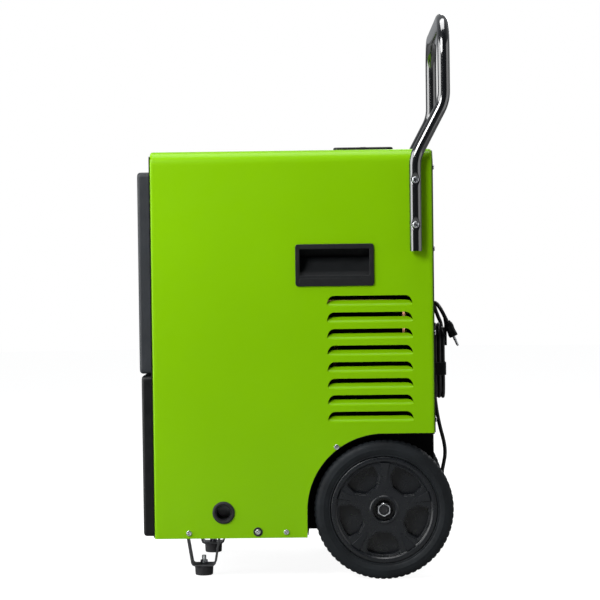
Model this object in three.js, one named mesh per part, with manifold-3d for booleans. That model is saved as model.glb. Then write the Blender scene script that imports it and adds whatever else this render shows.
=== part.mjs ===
// A commercial dehumidifier on two wheels, with a tubular push handle.
//
// Millimetres, +Z up, front towards -X. The origin is on the floor at the middle of the
// footprint. "Left" is the -Y side and "right" the +Y side, for a person pushing it forwards.

import * as THREE from 'three';
import { mergeVertices } from 'three/addons/utils/BufferGeometryUtils.js';
import Module from 'manifold-3d';

const wasm = await Module();
wasm.setup();

// ---------------------------------------------------------------- driving dimensions

const gap = 0.3;                    // between neighbouring pieces

// Casing: one sheet bent over the left side, the top and the right side.
const casingFront = -256;
const casingRear = 246;
const casingBottom = 77.5;
const casingTop = 768;
const halfWidth = 240;
const sheet = 1.2;
const topEdgeRadius = 22;
const foldWidth = 14;

// Wheels and axle.
const axleX = 154;
const axleZ = 125;
const tyreRadius = 125;
const rimRadius = 95;
const wheelWidth = 60;
const axleRadius = 8;
const archRadius = 137;
const wellWallY = 150;              // inner wall of each wheel well
const wellSheet = 1.5;

// Front: a steel frame, a grille above and the tank's front below.
const frameSheet = 1.5;
const frameTop = 760;
const grilleFront = -279;
const grilleBottom = 373;
const grilleTop = 732;
const tankFrontFace = -276;
const tankFrontBottom = 82;
const tankFrontTop = 370;

// Side features.
const louvreCount = 8;
const louvreLength = 152;
const louvreHeight = 18;
const louvrePitch = 29.5;
const louvreFirstTop = 508;
const louvreCentreX = 132.5;
const pocketX = 71;
const pocketZ = 563;
const pocketLength = 140;
const pocketHeight = 75;
const drainX = -132.5;
const drainZ = 123.6;

// Push handle: a bent tube outside the two sides.
const tubeRadius = 11;
const tubeWall = 1.5;
const legY = halfWidth + tubeRadius + 0.5;
const legX = 215.5;
const legBottomZ = 586;
const legBendZ = 752;
const gripX = 268;
const gripBendZ = 851;
const gripZ = 1001;
const legScrewZ = [632.6, 711.7];
const legFlatY = legY + 8;          // where the tube is pressed flat under each screw

// Control panel on the top.
const panelX0 = 71;
const panelX1 = 181;
const panelHalfY = 100;
const panelHeight = 9.7;
const buttonY = [-72, -48, 48, 72];
const buttonX = 126;

// Base, feet, tank and machinery.
const panFloor = 82;
const panFlange = 9;
const footX = -174;
const footY = 150;
const footHeight = 17.3;
const tankRear = -62;
const tankHalfY = 196;
const tankBottom = 88;
const tankTop = 335;
const shelfZ = 350;
const partitionX = -50;
const fanX = -112;
const fanZ = 550;
const fanRadius = 165;
const compressorX = 38;
const pipePassZ = 500;
const pipePassY = 206;

// Mains lead, folded into a hank that hangs on a hook at the back.
const leadRadius = 3.5;
const hankY = -100;
const hankFront = 250;
const hankDepth = 21;
const hankFoldRadius = 28;
const hankLowZ = 345.5;
const hankHighZ = 422.5;

// ---------------------------------------------------------------- solids and helpers

const machine = new THREE.Group();

function toSolid(geometry) {
  const bare = geometry.clone();
  bare.deleteAttribute('normal');
  bare.deleteAttribute('uv');
  const merged = mergeVertices(bare, 1e-4);
  const vertProperties = new Float32Array(merged.attributes.position.array);
  const triVerts = new Uint32Array(merged.index.array);
  return new wasm.Manifold(new wasm.Mesh({ numProp: 3, vertProperties, triVerts }));
}

function toGeometry(solid) {
  const mesh = solid.getMesh();
  const geometry = new THREE.BufferGeometry();
  geometry.setAttribute('position', new THREE.BufferAttribute(mesh.vertProperties, 3));
  geometry.setIndex(new THREE.BufferAttribute(mesh.triVerts, 1));
  geometry.computeVertexNormals();
  return geometry;
}

function join(first, ...others) {
  let solid = toSolid(first);
  for (const other of others) solid = solid.add(toSolid(other));
  return toGeometry(solid);
}

function cut(first, ...others) {
  let solid = toSolid(first);
  for (const other of others) solid = solid.subtract(toSolid(other));
  return toGeometry(solid);
}

function addPart(name, geometry, color, roughness, metalness) {
  const material = new THREE.MeshStandardMaterial({ color, roughness, metalness });
  const mesh = new THREE.Mesh(geometry, material);
  mesh.name = name;
  machine.add(mesh);
  return mesh;
}

// A box between two corners.
function box(x0, x1, y0, y1, z0, z1) {
  const geometry = new THREE.BoxGeometry(x1 - x0, y1 - y0, z1 - z0);
  return geometry.translate((x0 + x1) / 2, (y0 + y1) / 2, (z0 + z1) / 2);
}

// A shape drawn as (x, z), pushed along Y.
function alongY(shape, y0, y1, curveSegments = 6) {
  const depth = y1 - y0;
  const geometry = new THREE.ExtrudeGeometry(shape, { depth, bevelEnabled: false, curveSegments });
  return geometry.rotateX(Math.PI / 2).translate(0, y1, 0);
}

// A shape drawn as (y, z), pushed along X.
function alongX(shape, x0, x1, curveSegments = 6) {
  const depth = x1 - x0;
  const geometry = new THREE.ExtrudeGeometry(shape, { depth, bevelEnabled: false, curveSegments });
  const turn = new THREE.Matrix4().makeBasis(
    new THREE.Vector3(0, 1, 0), new THREE.Vector3(0, 0, 1), new THREE.Vector3(1, 0, 0));
  return geometry.applyMatrix4(turn).translate(x0, 0, 0);
}

// A shape drawn as (x, y), pushed along Z.
function alongZ(shape, z0, z1, curveSegments = 6) {
  const depth = z1 - z0;
  const geometry = new THREE.ExtrudeGeometry(shape, { depth, bevelEnabled: false, curveSegments });
  return geometry.translate(0, 0, z0);
}

function polygon(points) {
  return new THREE.Shape(points.map(([a, b]) => new THREE.Vector2(a, b)));
}

function roundedRectangle(a0, a1, b0, b1, radius) {
  const shape = new THREE.Shape();
  shape.moveTo(a0 + radius, b0);
  shape.lineTo(a1 - radius, b0);
  shape.absarc(a1 - radius, b0 + radius, radius, -Math.PI / 2, 0);
  shape.lineTo(a1, b1 - radius);
  shape.absarc(a1 - radius, b1 - radius, radius, 0, Math.PI / 2);
  shape.lineTo(a0 + radius, b1);
  shape.absarc(a0 + radius, b1 - radius, radius, Math.PI / 2, Math.PI);
  shape.lineTo(a0, b0 + radius);
  shape.absarc(a0 + radius, b0 + radius, radius, Math.PI, Math.PI * 1.5);
  return shape;
}

// Cylinders along each axis.
function rodY(radius, x, z, y0, y1, sides = 16) {
  return new THREE.CylinderGeometry(radius, radius, y1 - y0, sides).translate(x, (y0 + y1) / 2, z);
}

function rodZ(radius, x, y, z0, z1, sides = 16) {
  const rod = new THREE.CylinderGeometry(radius, radius, z1 - z0, sides).rotateX(Math.PI / 2);
  return rod.translate(x, y, (z0 + z1) / 2);
}

function rodX(radius, y, z, x0, x1, sides = 16) {
  const rod = new THREE.CylinderGeometry(radius, radius, x1 - x0, sides).rotateZ(Math.PI / 2);
  return rod.translate((x0 + x1) / 2, y, z);
}

// A ring turned about Y from a closed profile of [radius, y] points, given anticlockwise.
function turned(profile, segments) {
  const loop = [...profile, profile[0]].map(([r, y]) => new THREE.Vector2(r, y));
  return new THREE.LatheGeometry(loop, segments);
}

// The same profile turned about Z, as [radius, z] points.
function turnedUpright(profile, segments) {
  return turned(profile, segments).rotateX(Math.PI / 2);
}

// Straight runs joined by smooth bends. Each corner is [x, y, z, length trimmed for its bend].
function bentPath(corners) {
  const path = new THREE.CurvePath();
  const at = corners.map(([x, y, z]) => new THREE.Vector3(x, y, z));
  let from = at[0];
  for (let i = 1; i < corners.length - 1; i += 1) {
    const trim = corners[i][3];
    const before = at[i].clone().add(at[i - 1].clone().sub(at[i]).setLength(trim));
    const after = at[i].clone().add(at[i + 1].clone().sub(at[i]).setLength(trim));
    path.add(new THREE.LineCurve3(from, before));
    path.add(new THREE.QuadraticBezierCurve3(before, at[i], after));
    from = after;
  }
  path.add(new THREE.LineCurve3(from, at[at.length - 1]));
  return path;
}

function circle(radius, sides) {
  const points = [];
  for (let i = 0; i < sides; i += 1) {
    const angle = (i / sides) * Math.PI * 2;
    points.push([radius * Math.cos(angle), radius * Math.sin(angle)]);
  }
  return polygon(points);
}

function tubeAlong(path, radius, sides, steps, wall = 0) {
  const section = circle(radius, sides);
  if (wall > 0) section.holes.push(circle(radius - wall, sides / 2));
  return new THREE.ExtrudeGeometry(section, { steps, bevelEnabled: false, extrudePath: path });
}

// ---------------------------------------------------------------- colours

const green = 0x86cc0a;
const black = 0x1b1c1e;
const charcoal = 0x2d2e30;
const glossBlack = 0x0c0d10;
const rubber = 0x1f2022;
const zinc = 0xc9ccd0;
const galvanised = 0x9aa0a4;
const copper = 0xb87348;
const aluminium = 0xc3c7ca;

// ---------------------------------------------------------------- casing

// The wheel opening seen from the side: straight front edge, quarter arc, straight to the rear.
function archOutline(radius, rear, bottom) {
  const shape = new THREE.Shape();
  shape.moveTo(axleX - radius, bottom);
  shape.lineTo(axleX - radius, axleZ);
  shape.absarc(axleX, axleZ, radius, Math.PI, Math.PI / 2, true);
  shape.lineTo(rear, axleZ + radius);
  shape.lineTo(rear, bottom);
  return shape;
}

// The casing's section: an upside-down U with rounded shoulders, set in by a distance.
function casingSection(inset) {
  const y = halfWidth - inset;
  const top = casingTop - inset;
  const radius = topEdgeRadius - Math.min(inset, topEdgeRadius - 2);
  const shape = new THREE.Shape();
  shape.moveTo(y, casingBottom - (inset > 0 ? 1 : 0));
  shape.lineTo(y, top - radius);
  shape.absarc(y - radius, top - radius, radius, 0, Math.PI / 2);
  shape.lineTo(radius - y, top);
  shape.absarc(radius - y, top - radius, radius, Math.PI / 2, Math.PI);
  shape.lineTo(-y, casingBottom - (inset > 0 ? 1 : 0));
  return shape;
}

function louvreTop(index) {
  return louvreFirstTop - index * louvrePitch;
}

// One louvre slot: square at the bottom, with the top corners rounded off.
function louvreOutline(index) {
  const top = louvreTop(index);
  const bottom = top - louvreHeight;
  const half = louvreLength / 2;
  const cornerX = 12.5;
  const cornerZ = 15.5;
  const shape = new THREE.Shape();
  shape.moveTo(louvreCentreX - half, bottom);
  shape.lineTo(louvreCentreX + half, bottom);
  shape.absellipse(louvreCentreX + half - cornerX, top - cornerZ, cornerX, cornerZ, 0, Math.PI / 2);
  shape.absellipse(louvreCentreX - half + cornerX, top - cornerZ, cornerX, cornerZ, Math.PI / 2, Math.PI);
  return shape;
}

// The flap pressed in below a slot, which sheds drips outwards.
function louvreFlap(index, side) {
  const top = louvreTop(index) - 1;
  const bottom = louvreTop(index) - louvreHeight - 1;
  const inset = 9;
  const outer = side * halfWidth;
  const inner = side * (halfWidth - inset);
  const thick = side * sheet;
  const points = [[outer, bottom], [inner, top], [inner - thick, top], [outer - thick, bottom - 1]];
  if (side > 0) points.reverse();
  const half = louvreLength / 2 - 0.5;
  return alongX(polygon(points), louvreCentreX - half, louvreCentreX + half);
}

function makeCasing() {
  const shell = cut(
    alongX(casingSection(0), casingFront, casingRear),
    alongX(casingSection(sheet), casingFront - 1, casingRear + 1));
  const folds = [casingFront, casingRear - sheet].map((x) => cut(
    alongX(casingSection(0), x, x + sheet),
    alongX(casingSection(foldWidth), x - 1, x + sheet + 1)));
  const cutters = [
    alongY(archOutline(archRadius, casingRear + 1, casingBottom - 1), -halfWidth - 1, halfWidth + 1, 8),
    alongY(roundedRectangle(pocketX - 67, pocketX + 67, pocketZ - 35, pocketZ + 36, 0.5),
      -halfWidth - 1, halfWidth + 1, 3),
    rodY(17, drainX, drainZ, -halfWidth - 1, -halfWidth + 5, 20),
    box(panelX0 + 7, panelX1 - 7, 8 - panelHalfY, panelHalfY - 8, casingTop - 5, casingTop + 1),
  ];
  for (const z of legScrewZ) cutters.push(rodY(3.4, legX, z, -halfWidth - 1, halfWidth + 1, 8));
  for (let i = 0; i < louvreCount; i += 1) {
    cutters.push(alongY(louvreOutline(i), -halfWidth - 1, halfWidth + 1, 3));
  }
  const flaps = [];
  for (const side of [-1, 1]) {
    for (let i = 0; i < louvreCount; i += 1) flaps.push(louvreFlap(i, side));
  }
  return join(cut(join(shell, ...folds), ...cutters), ...flaps);
}

function makeBackPanel() {
  const thickness = 1.2;
  const wide = halfWidth - 2;
  const narrow = wellWallY - gap;
  const step = axleZ + archRadius + gap;
  const outline = polygon([
    [-narrow, panFloor], [narrow, panFloor], [narrow, step], [wide, step], [wide, casingTop - 24],
    [wide - 20, casingTop - 3], [20 - wide, casingTop - 3], [-wide, casingTop - 24], [-wide, step],
    [-narrow, step],
  ]);
  return alongX(outline, casingRear + gap, casingRear + gap + thickness);
}

function makeBasePan() {
  const front = casingFront + 1.5;
  const step = axleX - archRadius - gap;
  const rear = casingRear - gap - sheet;
  const wide = halfWidth - sheet - gap;
  const narrow = wellWallY - gap;
  const outline = (inset) => polygon([
    [front + inset, inset - wide], [step - inset, inset - wide], [step - inset, inset - narrow],
    [rear - inset, inset - narrow], [rear - inset, narrow - inset], [step - inset, narrow - inset],
    [step - inset, wide - inset], [front + inset, wide - inset],
  ]);
  const tray = cut(
    alongZ(outline(0), panFloor, panFloor + panFlange),
    alongZ(outline(sheet), panFloor + sheet, panFloor + panFlange + 1),
    box(front - 1, front + 2, -tankHalfY - 4, tankHalfY + 4, panFloor + sheet, panFloor + panFlange + 1));
  const rails = [-150, 140].map((y) => (
    box(front + 8, tankRear, y, y + 10, panFloor + sheet / 2, tankBottom - gap)));
  return join(tray, ...rails);
}

// A black liner that closes the casing off from the wheel.
function makeWheelWell(side) {
  const outer = side * (halfWidth - gap);
  const inner = side * wellWallY;
  const wall = side * (wellWallY + wellSheet);
  const between = (a, b) => [Math.min(a, b), Math.max(a, b)];
  const full = alongY(archOutline(archRadius - gap, casingRear, panFloor), ...between(inner, outer), 10);
  const room = alongY(
    archOutline(archRadius - gap - wellSheet, casingRear + 1, panFloor - 1),
    ...between(wall, outer + side), 10);
  const axleHole = rodY(axleRadius + 1, axleX, axleZ, ...between(inner - side, wall + side), 16);
  return cut(full, room, axleHole);
}

// ---------------------------------------------------------------- front

function makeFrontFrame() {
  const rear = casingFront - gap;
  const plate = alongX(roundedRectangle(-halfWidth + 2, halfWidth - 2, 79, frameTop, 6),
    rear - frameSheet, rear, 3);
  return cut(
    plate,
    box(rear - 5, rear + 5, -205, 205, 396, 708),
    box(rear - 5, rear + 5, -tankHalfY - 3, tankHalfY + 3, tankBottom - 2, tankTop + 4));
}

function frontPlaneRear() {
  return casingFront - gap - frameSheet - gap;
}

// The intake cover: a shallow moulding, open at the back, with two columns of slots.
function makeGrille() {
  const rear = frontPlaneRear();
  const wall = 3;
  const y = halfWidth - 1;
  const outer = alongX(roundedRectangle(-y, y, grilleBottom, grilleTop, 9), grilleFront, rear, 3);
  const inner = alongX(
    roundedRectangle(wall - y, y - wall, grilleBottom + wall, grilleTop - wall, 6),
    grilleFront + wall, rear + 1, 3);
  const slots = [];
  const columns = [[-204, -5], [5, 204]];
  const slotCount = 13;
  for (let i = 0; i < slotCount; i += 1) {
    const z = 402 + i * 23.5;
    for (const [y0, y1] of columns) slots.push(box(grilleFront - 1, grilleFront + 5, y0, y1, z, z + 13));
  }
  return cut(outer, inner, ...slots);
}

function makeFilter() {
  const rear = casingFront + sheet + 10;
  const frame = box(rear - 6, rear, -214, 214, 388, 716);
  return cut(
    frame,
    box(rear - 7, rear - 3.5, -204, 204, 398, 706),
    box(rear - 2.5, rear + 1, -204, 204, 398, 706));
}

function makeTankFront() {
  const rear = frontPlaneRear();
  const wall = 3;
  const y = halfWidth - 1;
  const outer = alongX(
    roundedRectangle(-y, y, tankFrontBottom, tankFrontTop, 9), tankFrontFace, rear, 3);
  const inner = alongX(
    roundedRectangle(wall - y, y - wall, tankFrontBottom + wall, tankFrontTop - wall, 6),
    tankFrontFace + wall, rear + 1, 3);
  const fingerSlot = alongX(roundedRectangle(-70, 70, 330, 356, 8), tankFrontFace - 1, tankFrontFace + 5, 3);
  return cut(outer, inner, fingerSlot);
}

// The tank is an open bin, with two lugs near its rear wall that carry the float's pin.
function makeTank() {
  const wall = 2.5;
  const front = frontPlaneRear() + gap;
  const bin = cut(
    box(front, tankRear, -tankHalfY, tankHalfY, tankBottom, tankTop),
    box(front + wall, tankRear - wall, wall - tankHalfY, tankHalfY - wall, tankBottom + wall, tankTop + 1));
  const lugs = [96, 118].map((y) => box(tankRear - 22, tankRear - 1, y, y + 4, 292, 312));
  const pinHole = rodY(3.4, tankRear - 14, 302, 90, 130, 12);
  return cut(join(bin, ...lugs), pinHole);
}

function makeFloat() {
  const pivotX = tankRear - 14;
  const pin = rodY(3, pivotX, 302, 96.5, 121.5, 12);
  const arm = box(pivotX - 70, pivotX + 3, 106, 112, 299, 305);
  const pad = alongZ(roundedRectangle(pivotX - 100, pivotX - 55, 86, 132, 8), 276, 303, 3);
  return join(pin, arm, pad);
}

// ---------------------------------------------------------------- side fittings

// A recessed grip: a raised frame and a pocket that is deepest behind its top bar.
function makePocketHandle(side) {
  const face = halfWidth + gap;
  const depthAndHeight = (points) => {
    const list = points.map(([depth, z]) => [side * (face - depth), z]);
    return polygon(side > 0 ? list : list.reverse());
  };
  const low = pocketZ - pocketHeight / 2;
  const high = pocketZ + pocketHeight / 2;
  const half = pocketLength / 2;
  const rim = alongY(roundedRectangle(pocketX - half, pocketX + half, low, high, 6),
    side > 0 ? face : -face - 3, side > 0 ? face + 3 : -face, 4);
  const body = alongX(depthAndHeight([
    [-1, low + 3.5], [12, low + 15.5], [33, low + 48.5], [46.5, low + 48.5], [46.5, high - 2.5],
    [-1, high - 2.5],
  ]), pocketX - half + 3.5, pocketX + half - 3.5);
  const hollow = alongX(depthAndHeight([
    [-4, low + 19], [0, low + 19], [30, low + 51], [44, low + 51], [44, high - 5], [3, high - 5],
    [3, high - 9], [-4, high - 9],
  ]), pocketX - half + 7.75, pocketX + half - 7.75);
  return cut(join(rim, body), hollow);
}

function makeDrainGrommet() {
  const inside = halfWidth - sheet - gap;
  const outside = halfWidth + gap;
  const ring = turned([
    [14.5, inside - 3], [19, inside - 3], [19, inside], [16.6, inside], [16.6, outside],
    [20, outside], [20, outside + 2], [18.5, outside + 3.2], [14.5, outside + 3.2],
  ], 16);
  return ring.rotateZ(Math.PI).translate(drainX, 0, drainZ);
}

// ---------------------------------------------------------------- push handle

function makePushHandle() {
  const bend = 18;
  const corner = 72;
  const path = bentPath([
    [legX, -legY, legBottomZ], [legX, -legY, legBendZ, bend], [gripX, -legY, gripBendZ, bend],
    [gripX, -legY, gripZ, corner], [gripX, legY, gripZ, corner], [gripX, legY, gripBendZ, bend],
    [legX, legY, legBendZ, bend], [legX, legY, legBottomZ],
  ]);
  let handle = tubeAlong(path, tubeRadius, 10, 52, tubeWall);
  for (const side of [-1, 1]) {
    const inner = side * (legY - tubeRadius + 0.5);
    const flat = side * legFlatY;
    const beyond = side * (legY + tubeRadius + 1);
    for (const z of legScrewZ) {
      const crushed = box(legX - 7, legX + 7, Math.min(inner, flat), Math.max(inner, flat), z - 10, z + 10);
      const pressed = box(
        legX - 12, legX + 12, Math.min(flat, beyond), Math.max(flat, beyond), z - 9, z + 9);
      const hole = rodY(3.3, legX, z, -legY - 20, legY + 20, 8);
      handle = cut(join(handle, crushed), pressed, hole);
    }
  }
  return handle;
}

function makeHandleScrew(side, z) {
  const shank = rodY(3, legX, z, legFlatY - 34, legFlatY + 1, 8);
  const head = new THREE.CylinderGeometry(4, 6, 3, 16).translate(legX, legFlatY + gap + 1.5, z);
  const screw = join(shank, head);
  return side > 0 ? screw : screw.translate(-legX, 0, 0).rotateZ(Math.PI).translate(legX, 0, 0);
}

// ---------------------------------------------------------------- wheels

// Wheel pieces are drawn with y = 0 at the outer face and +y inwards, about the axle line.
function placeOnAxle(geometry, side) {
  if (side > 0) geometry.rotateZ(Math.PI);
  return geometry.translate(axleX, side * halfWidth, axleZ);
}

function makeTyre(side) {
  const w = wheelWidth;
  const r = tyreRadius;
  const tyre = turned([
    [rimRadius, 6], [rimRadius + 6, 1], [rimRadius + 14, 0], [r - 7, 2], [r - 2, 8], [r, 18],
    [r, w - 18], [r - 2, w - 8], [r - 7, w - 2], [rimRadius + 14, w], [rimRadius + 6, w - 1],
    [rimRadius, w - 6],
  ], 40);
  return placeOnAxle(tyre, side);
}

function makeRim(side) {
  const outer = rimRadius - gap;
  const disc = turned([
    [12.3, 20], [21, 20], [21, 5], [80, 5], [84.5, 3], [outer, 3], [outer, 54], [88, 54], [88, 32],
    [26, 32], [26, 56], [12.3, 56],
  ], 24);
  const pocket = polygon([[40, -18], [73, -29], [79, -15], [82, 0], [79, 15], [73, 29], [40, 18]]);
  const spokes = 5;
  const pockets = [];
  for (let i = 0; i < spokes; i += 1) {
    const turn = Math.PI / 2 + ((i + 0.5) / spokes) * Math.PI * 2;
    pockets.push(alongY(pocket, -5, 26).rotateY(-turn));
  }
  return placeOnAxle(cut(disc, ...pockets), side);
}

function makeBush(side) {
  return placeOnAxle(turned([[8.15, 20.3], [12, 20.3], [12, 56], [8.15, 56]], 16), side);
}

// The axle has a raised shoulder on each side, between the wheel and the well's wall.
function makeAxle() {
  const end = halfWidth - 5;
  const shoulders = [-1, 1].map((side) => {
    const a = side * (wellWallY + wellSheet + gap);
    const b = side * (halfWidth - 56 - gap);
    return rodY(12, axleX, axleZ, Math.min(a, b), Math.max(a, b));
  });
  return join(rodY(axleRadius, axleX, axleZ, -end, end), ...shoulders);
}

// A flanged hexagon nut inside the hub's recess.
function makeWheelNut(side) {
  const hexagon = new THREE.CylinderGeometry(13.4, 13.4, 12, 6).translate(0, 12.5, 0);
  const flange = new THREE.CylinderGeometry(16, 16, 1.6, 16).translate(0, 18.9, 0);
  const bore = new THREE.CylinderGeometry(8.2, 8.2, 40, 16).translate(0, 10, 0);
  return placeOnAxle(cut(join(hexagon, flange), bore), side);
}

// A channel on the base pan whose two upright ears carry the axle.
function makeAxleCradle() {
  const floor = panFloor + sheet + gap;
  const reach = wellWallY - 8;
  const ear = polygon([
    [axleX - 30, floor], [axleX + 30, floor], [axleX + 16, axleZ + 20], [axleX - 16, axleZ + 20],
  ]);
  return cut(
    join(
      box(axleX - 30, axleX + 30, -reach, reach, floor, floor + 3),
      alongY(ear, -reach, 3 - reach),
      alongY(ear, reach - 3, reach)),
    rodY(axleRadius + 0.35, axleX, axleZ, -200, 200));
}

// ---------------------------------------------------------------- front feet

// A flat-steel strap bent into a hat shape, hung under the base pan.
function makeFootStrap(side) {
  const top = panFloor - gap;
  const low = footHeight + gap;
  const t = 3;
  const half = [
    [46, top], [46, top - t], [31.8, top - t], [21.5, low],
  ];
  const inner = [[18.9, low + t], [28.8, top]];
  const mirrored = (list) => list.map(([x, z]) => [-x, z]);
  const outline = [...mirrored(half), ...half.slice().reverse(), ...inner.slice().reverse(), ...mirrored(inner)];
  const strap = alongY(polygon(outline.map(([x, z]) => [footX + x, z])), side * footY - 20, side * footY + 20);
  return cut(strap, rodZ(4.6, footX, side * footY, low - 1, low + t + 1, 12));
}

function makeRubberFoot(side) {
  const foot = turnedUpright([
    [8.2, 0], [13, 0], [15, 2], [17, footHeight], [4.6, footHeight], [4.6, 9], [8.2, 9],
  ], 16);
  return foot.translate(footX, side * footY, 0);
}

function makeFootBolt(side) {
  const y = side * footY;
  const low = footHeight + gap + 3 + gap;
  return join(
    rodZ(4, footX, y, 5, 36, 12),
    rodZ(7.5, footX, y, 3, 8.6, 6),
    rodZ(7.5, footX, y, low, low + 6.5, 6));
}

// ---------------------------------------------------------------- control panel

function makeControlPanel() {
  const low = casingTop + gap;
  const high = low + panelHeight;
  const skin = 2.2;
  const bezel = alongZ(roundedRectangle(panelX0, panelX1, -panelHalfY, panelHalfY, 10), low, high, 3);
  const under = alongZ(
    roundedRectangle(panelX0 + 3, panelX1 - 3, 3 - panelHalfY, panelHalfY - 3, 7), low - 1, high - skin, 2);
  const window = box(panelX0 + 26, panelX1 - 26, -34, 34, low, high + 1);
  const holes = buttonY.map((y) => rodZ(7, buttonX, y, low, high + 1, 12));
  return cut(bezel, under, window, ...holes);
}

function makeDisplayLens() {
  const high = casingTop + gap + panelHeight;
  return box(panelX0 + 26 + gap, panelX1 - 26 - gap, gap - 34, 34 - gap, high - 2.5, high - 0.3);
}

function makeControlBoard() {
  const low = casingTop + gap + 0.6;
  const board = box(panelX0 + 8, panelX1 - 8, 8 - panelHalfY, panelHalfY - 8, low, low + 1.6);
  const screen = box(panelX0 + 28, panelX1 - 28, -32, 32, low + 1, low + 6);
  return join(board, screen);
}

function makeButton(y) {
  const panelTop = casingTop + gap + panelHeight;
  return join(
    rodZ(6.6, buttonX, y, panelTop - 5, panelTop + 1.4, 12),
    rodZ(8, buttonX, y, panelTop - 5, panelTop - 4, 12));
}

// ---------------------------------------------------------------- machinery

// A sheet with a vertical leg behind the tank and a shelf that carries the coils.
function makePartition() {
  const t = 1.5;
  const floor = panFloor + sheet + gap;
  const outline = polygon([
    [partitionX, floor], [partitionX + t, floor], [partitionX + t, shelfZ + t],
    [casingFront + 18, shelfZ + t], [casingFront + 18, shelfZ], [partitionX, shelfZ],
  ]);
  return cut(alongY(outline, -halfWidth + 5, halfWidth - 5), rodZ(12, -186, 60, shelfZ - 5, shelfZ + 5, 12));
}

function makeDripTray() {
  const low = shelfZ + 1.5 + gap;
  return cut(
    box(-238, -134, -212, 212, low, low + 28),
    box(-236, -136, -210, 210, low + 2, low + 30),
    rodZ(8, -186, 60, low - 1, low + 5, 12));
}

// A finned coil, drawn as upright fins tied by three tube rows.
function makeCoil(x0, x1) {
  const fins = 11;
  const half = 190;
  const finThickness = 3;
  const pitch = (half * 2 - finThickness) / (fins - 1);
  const windows = [];
  for (let i = 0; i < fins - 1; i += 1) {
    const y0 = -half + finThickness + i * pitch;
    for (const [z0, z1] of [[400, 550], [564, 714]]) {
      windows.push(box(x0 - 1, x1 + 1, y0, y0 + pitch - finThickness, z0, z1));
    }
  }
  return cut(box(x0, x1, -half, half, 386, 728), ...windows);
}

// A flat bar bent into a U behind the motor and welded to the bulkhead.
function motorBar() {
  const rear = fanX + 56 + 76 + gap;
  const t = 4;
  const reach = 184;
  const outline = polygon([
    [-125, fanZ - reach - t], [rear + t, fanZ - reach - t], [rear + t, fanZ + reach + t],
    [-125, fanZ + reach + t], [-125, fanZ + reach], [rear, fanZ + reach], [rear, fanZ - reach],
    [-125, fanZ - reach],
  ]);
  return alongY(outline, -20, 20);
}

// A bulkhead with a round throat that the fan turns in.
function makeFanShroud() {
  const plate = box(-126, -124.5, 5 - halfWidth, halfWidth - 5, shelfZ + 3, casingTop - topEdgeRadius - 2);
  const ring = rodX(fanRadius + 10, 0, fanZ, -125, -64, 32);
  const throat = rodX(fanRadius + 8, 0, fanZ, -130, -60, 32);
  const passes = [-1, 1].map((side) => rodX(9, side * pipePassY, pipePassZ, -130, -120, 12));
  return join(cut(join(plate, ring), throat, ...passes), motorBar());
}

// Hub, five pitched blades and the stub that the motor drives.
function makeFan() {
  const blades = 5;
  const bladePitch = 0.42;
  const hub = rodX(42, 0, fanZ, fanX, fanX + 42, 20);
  const shaft = rodX(6, 0, fanZ, fanX + 40, fanX + 70, 12);
  const blade = polygon([[36, -26], [110, -52], [fanRadius - 6, -58], [fanRadius, 0], [fanRadius - 8, 40],
    [100, 30], [36, 24]]);
  const parts = [];
  for (let i = 0; i < blades; i += 1) {
    const flat = alongX(blade, -1.5, 1.5);
    parts.push(flat.rotateY(bladePitch).rotateX((i / blades) * Math.PI * 2).translate(fanX + 21, 0, fanZ));
  }
  return join(hub, shaft, ...parts);
}

function makeFanMotor() {
  const front = fanX + 56;
  return cut(
    join(rodX(56, 0, fanZ, front, front + 70, 24), rodX(24, 0, fanZ, front - 8, front + 76, 16)),
    rodX(6.3, 0, fanZ, front - 10, front + 20, 12));
}

// The compressor's welded shell, open at a charging port below, on a mounting plate.
function makeCompressor() {
  const floor = panFloor + sheet + gap;
  const shell = turnedUpright([
    [8, 104], [60, 106], [73, 122], [75, 140], [75, 300], [70, 326], [50, 344], [0.02, 350],
    [0.02, 338], [44, 333], [60, 318], [66, 296], [66, 140], [62, 124], [50, 114], [8, 113],
  ], 16);
  const plate = cut(
    box(-85, 85, -85, 85, floor + 16, floor + 22),
    rodZ(8, 0, 0, floor, floor + 40, 24));
  const mounts = [];
  for (const x of [-70, 70]) {
    for (const y of [-70, 70]) mounts.push(rodZ(13, x, y, floor, floor + 17, 10));
  }
  return join(shell, plate, ...mounts).translate(compressorX, 0, 0);
}

function makeElectricalBox() {
  return cut(
    box(40, 200, -90, 90, 636, 736),
    box(41.5, 198.5, -88.5, 88.5, 637.5, 737));
}

function makeDischargePipe() {
  const path = bentPath([
    [70, -20, 346.6], [70, -20, 420, 25], [196, -pipePassY, 420, 30], [196, -pipePassY, pipePassZ, 25],
    [-162, -pipePassY, pipePassZ, 12], [-162, -190.5, pipePassZ],
  ]);
  return tubeAlong(path, 5, 6, 44);
}

function makeSuctionPipe() {
  const path = bentPath([
    [10, 32, 346.6], [10, 32, 410, 25], [24, pipePassY, 410, 30], [24, pipePassY, pipePassZ, 25],
    [-214, pipePassY, pipePassZ, 13], [-214, 190.5, pipePassZ],
  ]);
  return tubeAlong(path, 6.5, 6, 36);
}

// ---------------------------------------------------------------- mains lead

const hookFace = casingRear + gap + 1.2 + gap;
const glandX = 264;
const glandTop = 168;

// A T-shaped cord hook: a plate on the back panel, a stem, and an upright outer plate.
function makeCordHook() {
  const outer = hankFront + hankDepth + 0.8;
  const plate = box(hookFace, hookFace + 1.8, hankY - 15, hankY + 15, 408, 470);
  const stem = box(hookFace + 1, outer + 2, hankY - 10, hankY + 10, 424, 436.3);
  const lip = alongY(
    polygon([[outer, 412], [outer + 3.5, 412], [outer + 3.5, 450], [outer + 1, 468], [outer - 2.5, 468],
      [outer, 450]]),
    hankY - 15, hankY + 15);
  return join(plate, stem, lip);
}

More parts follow.
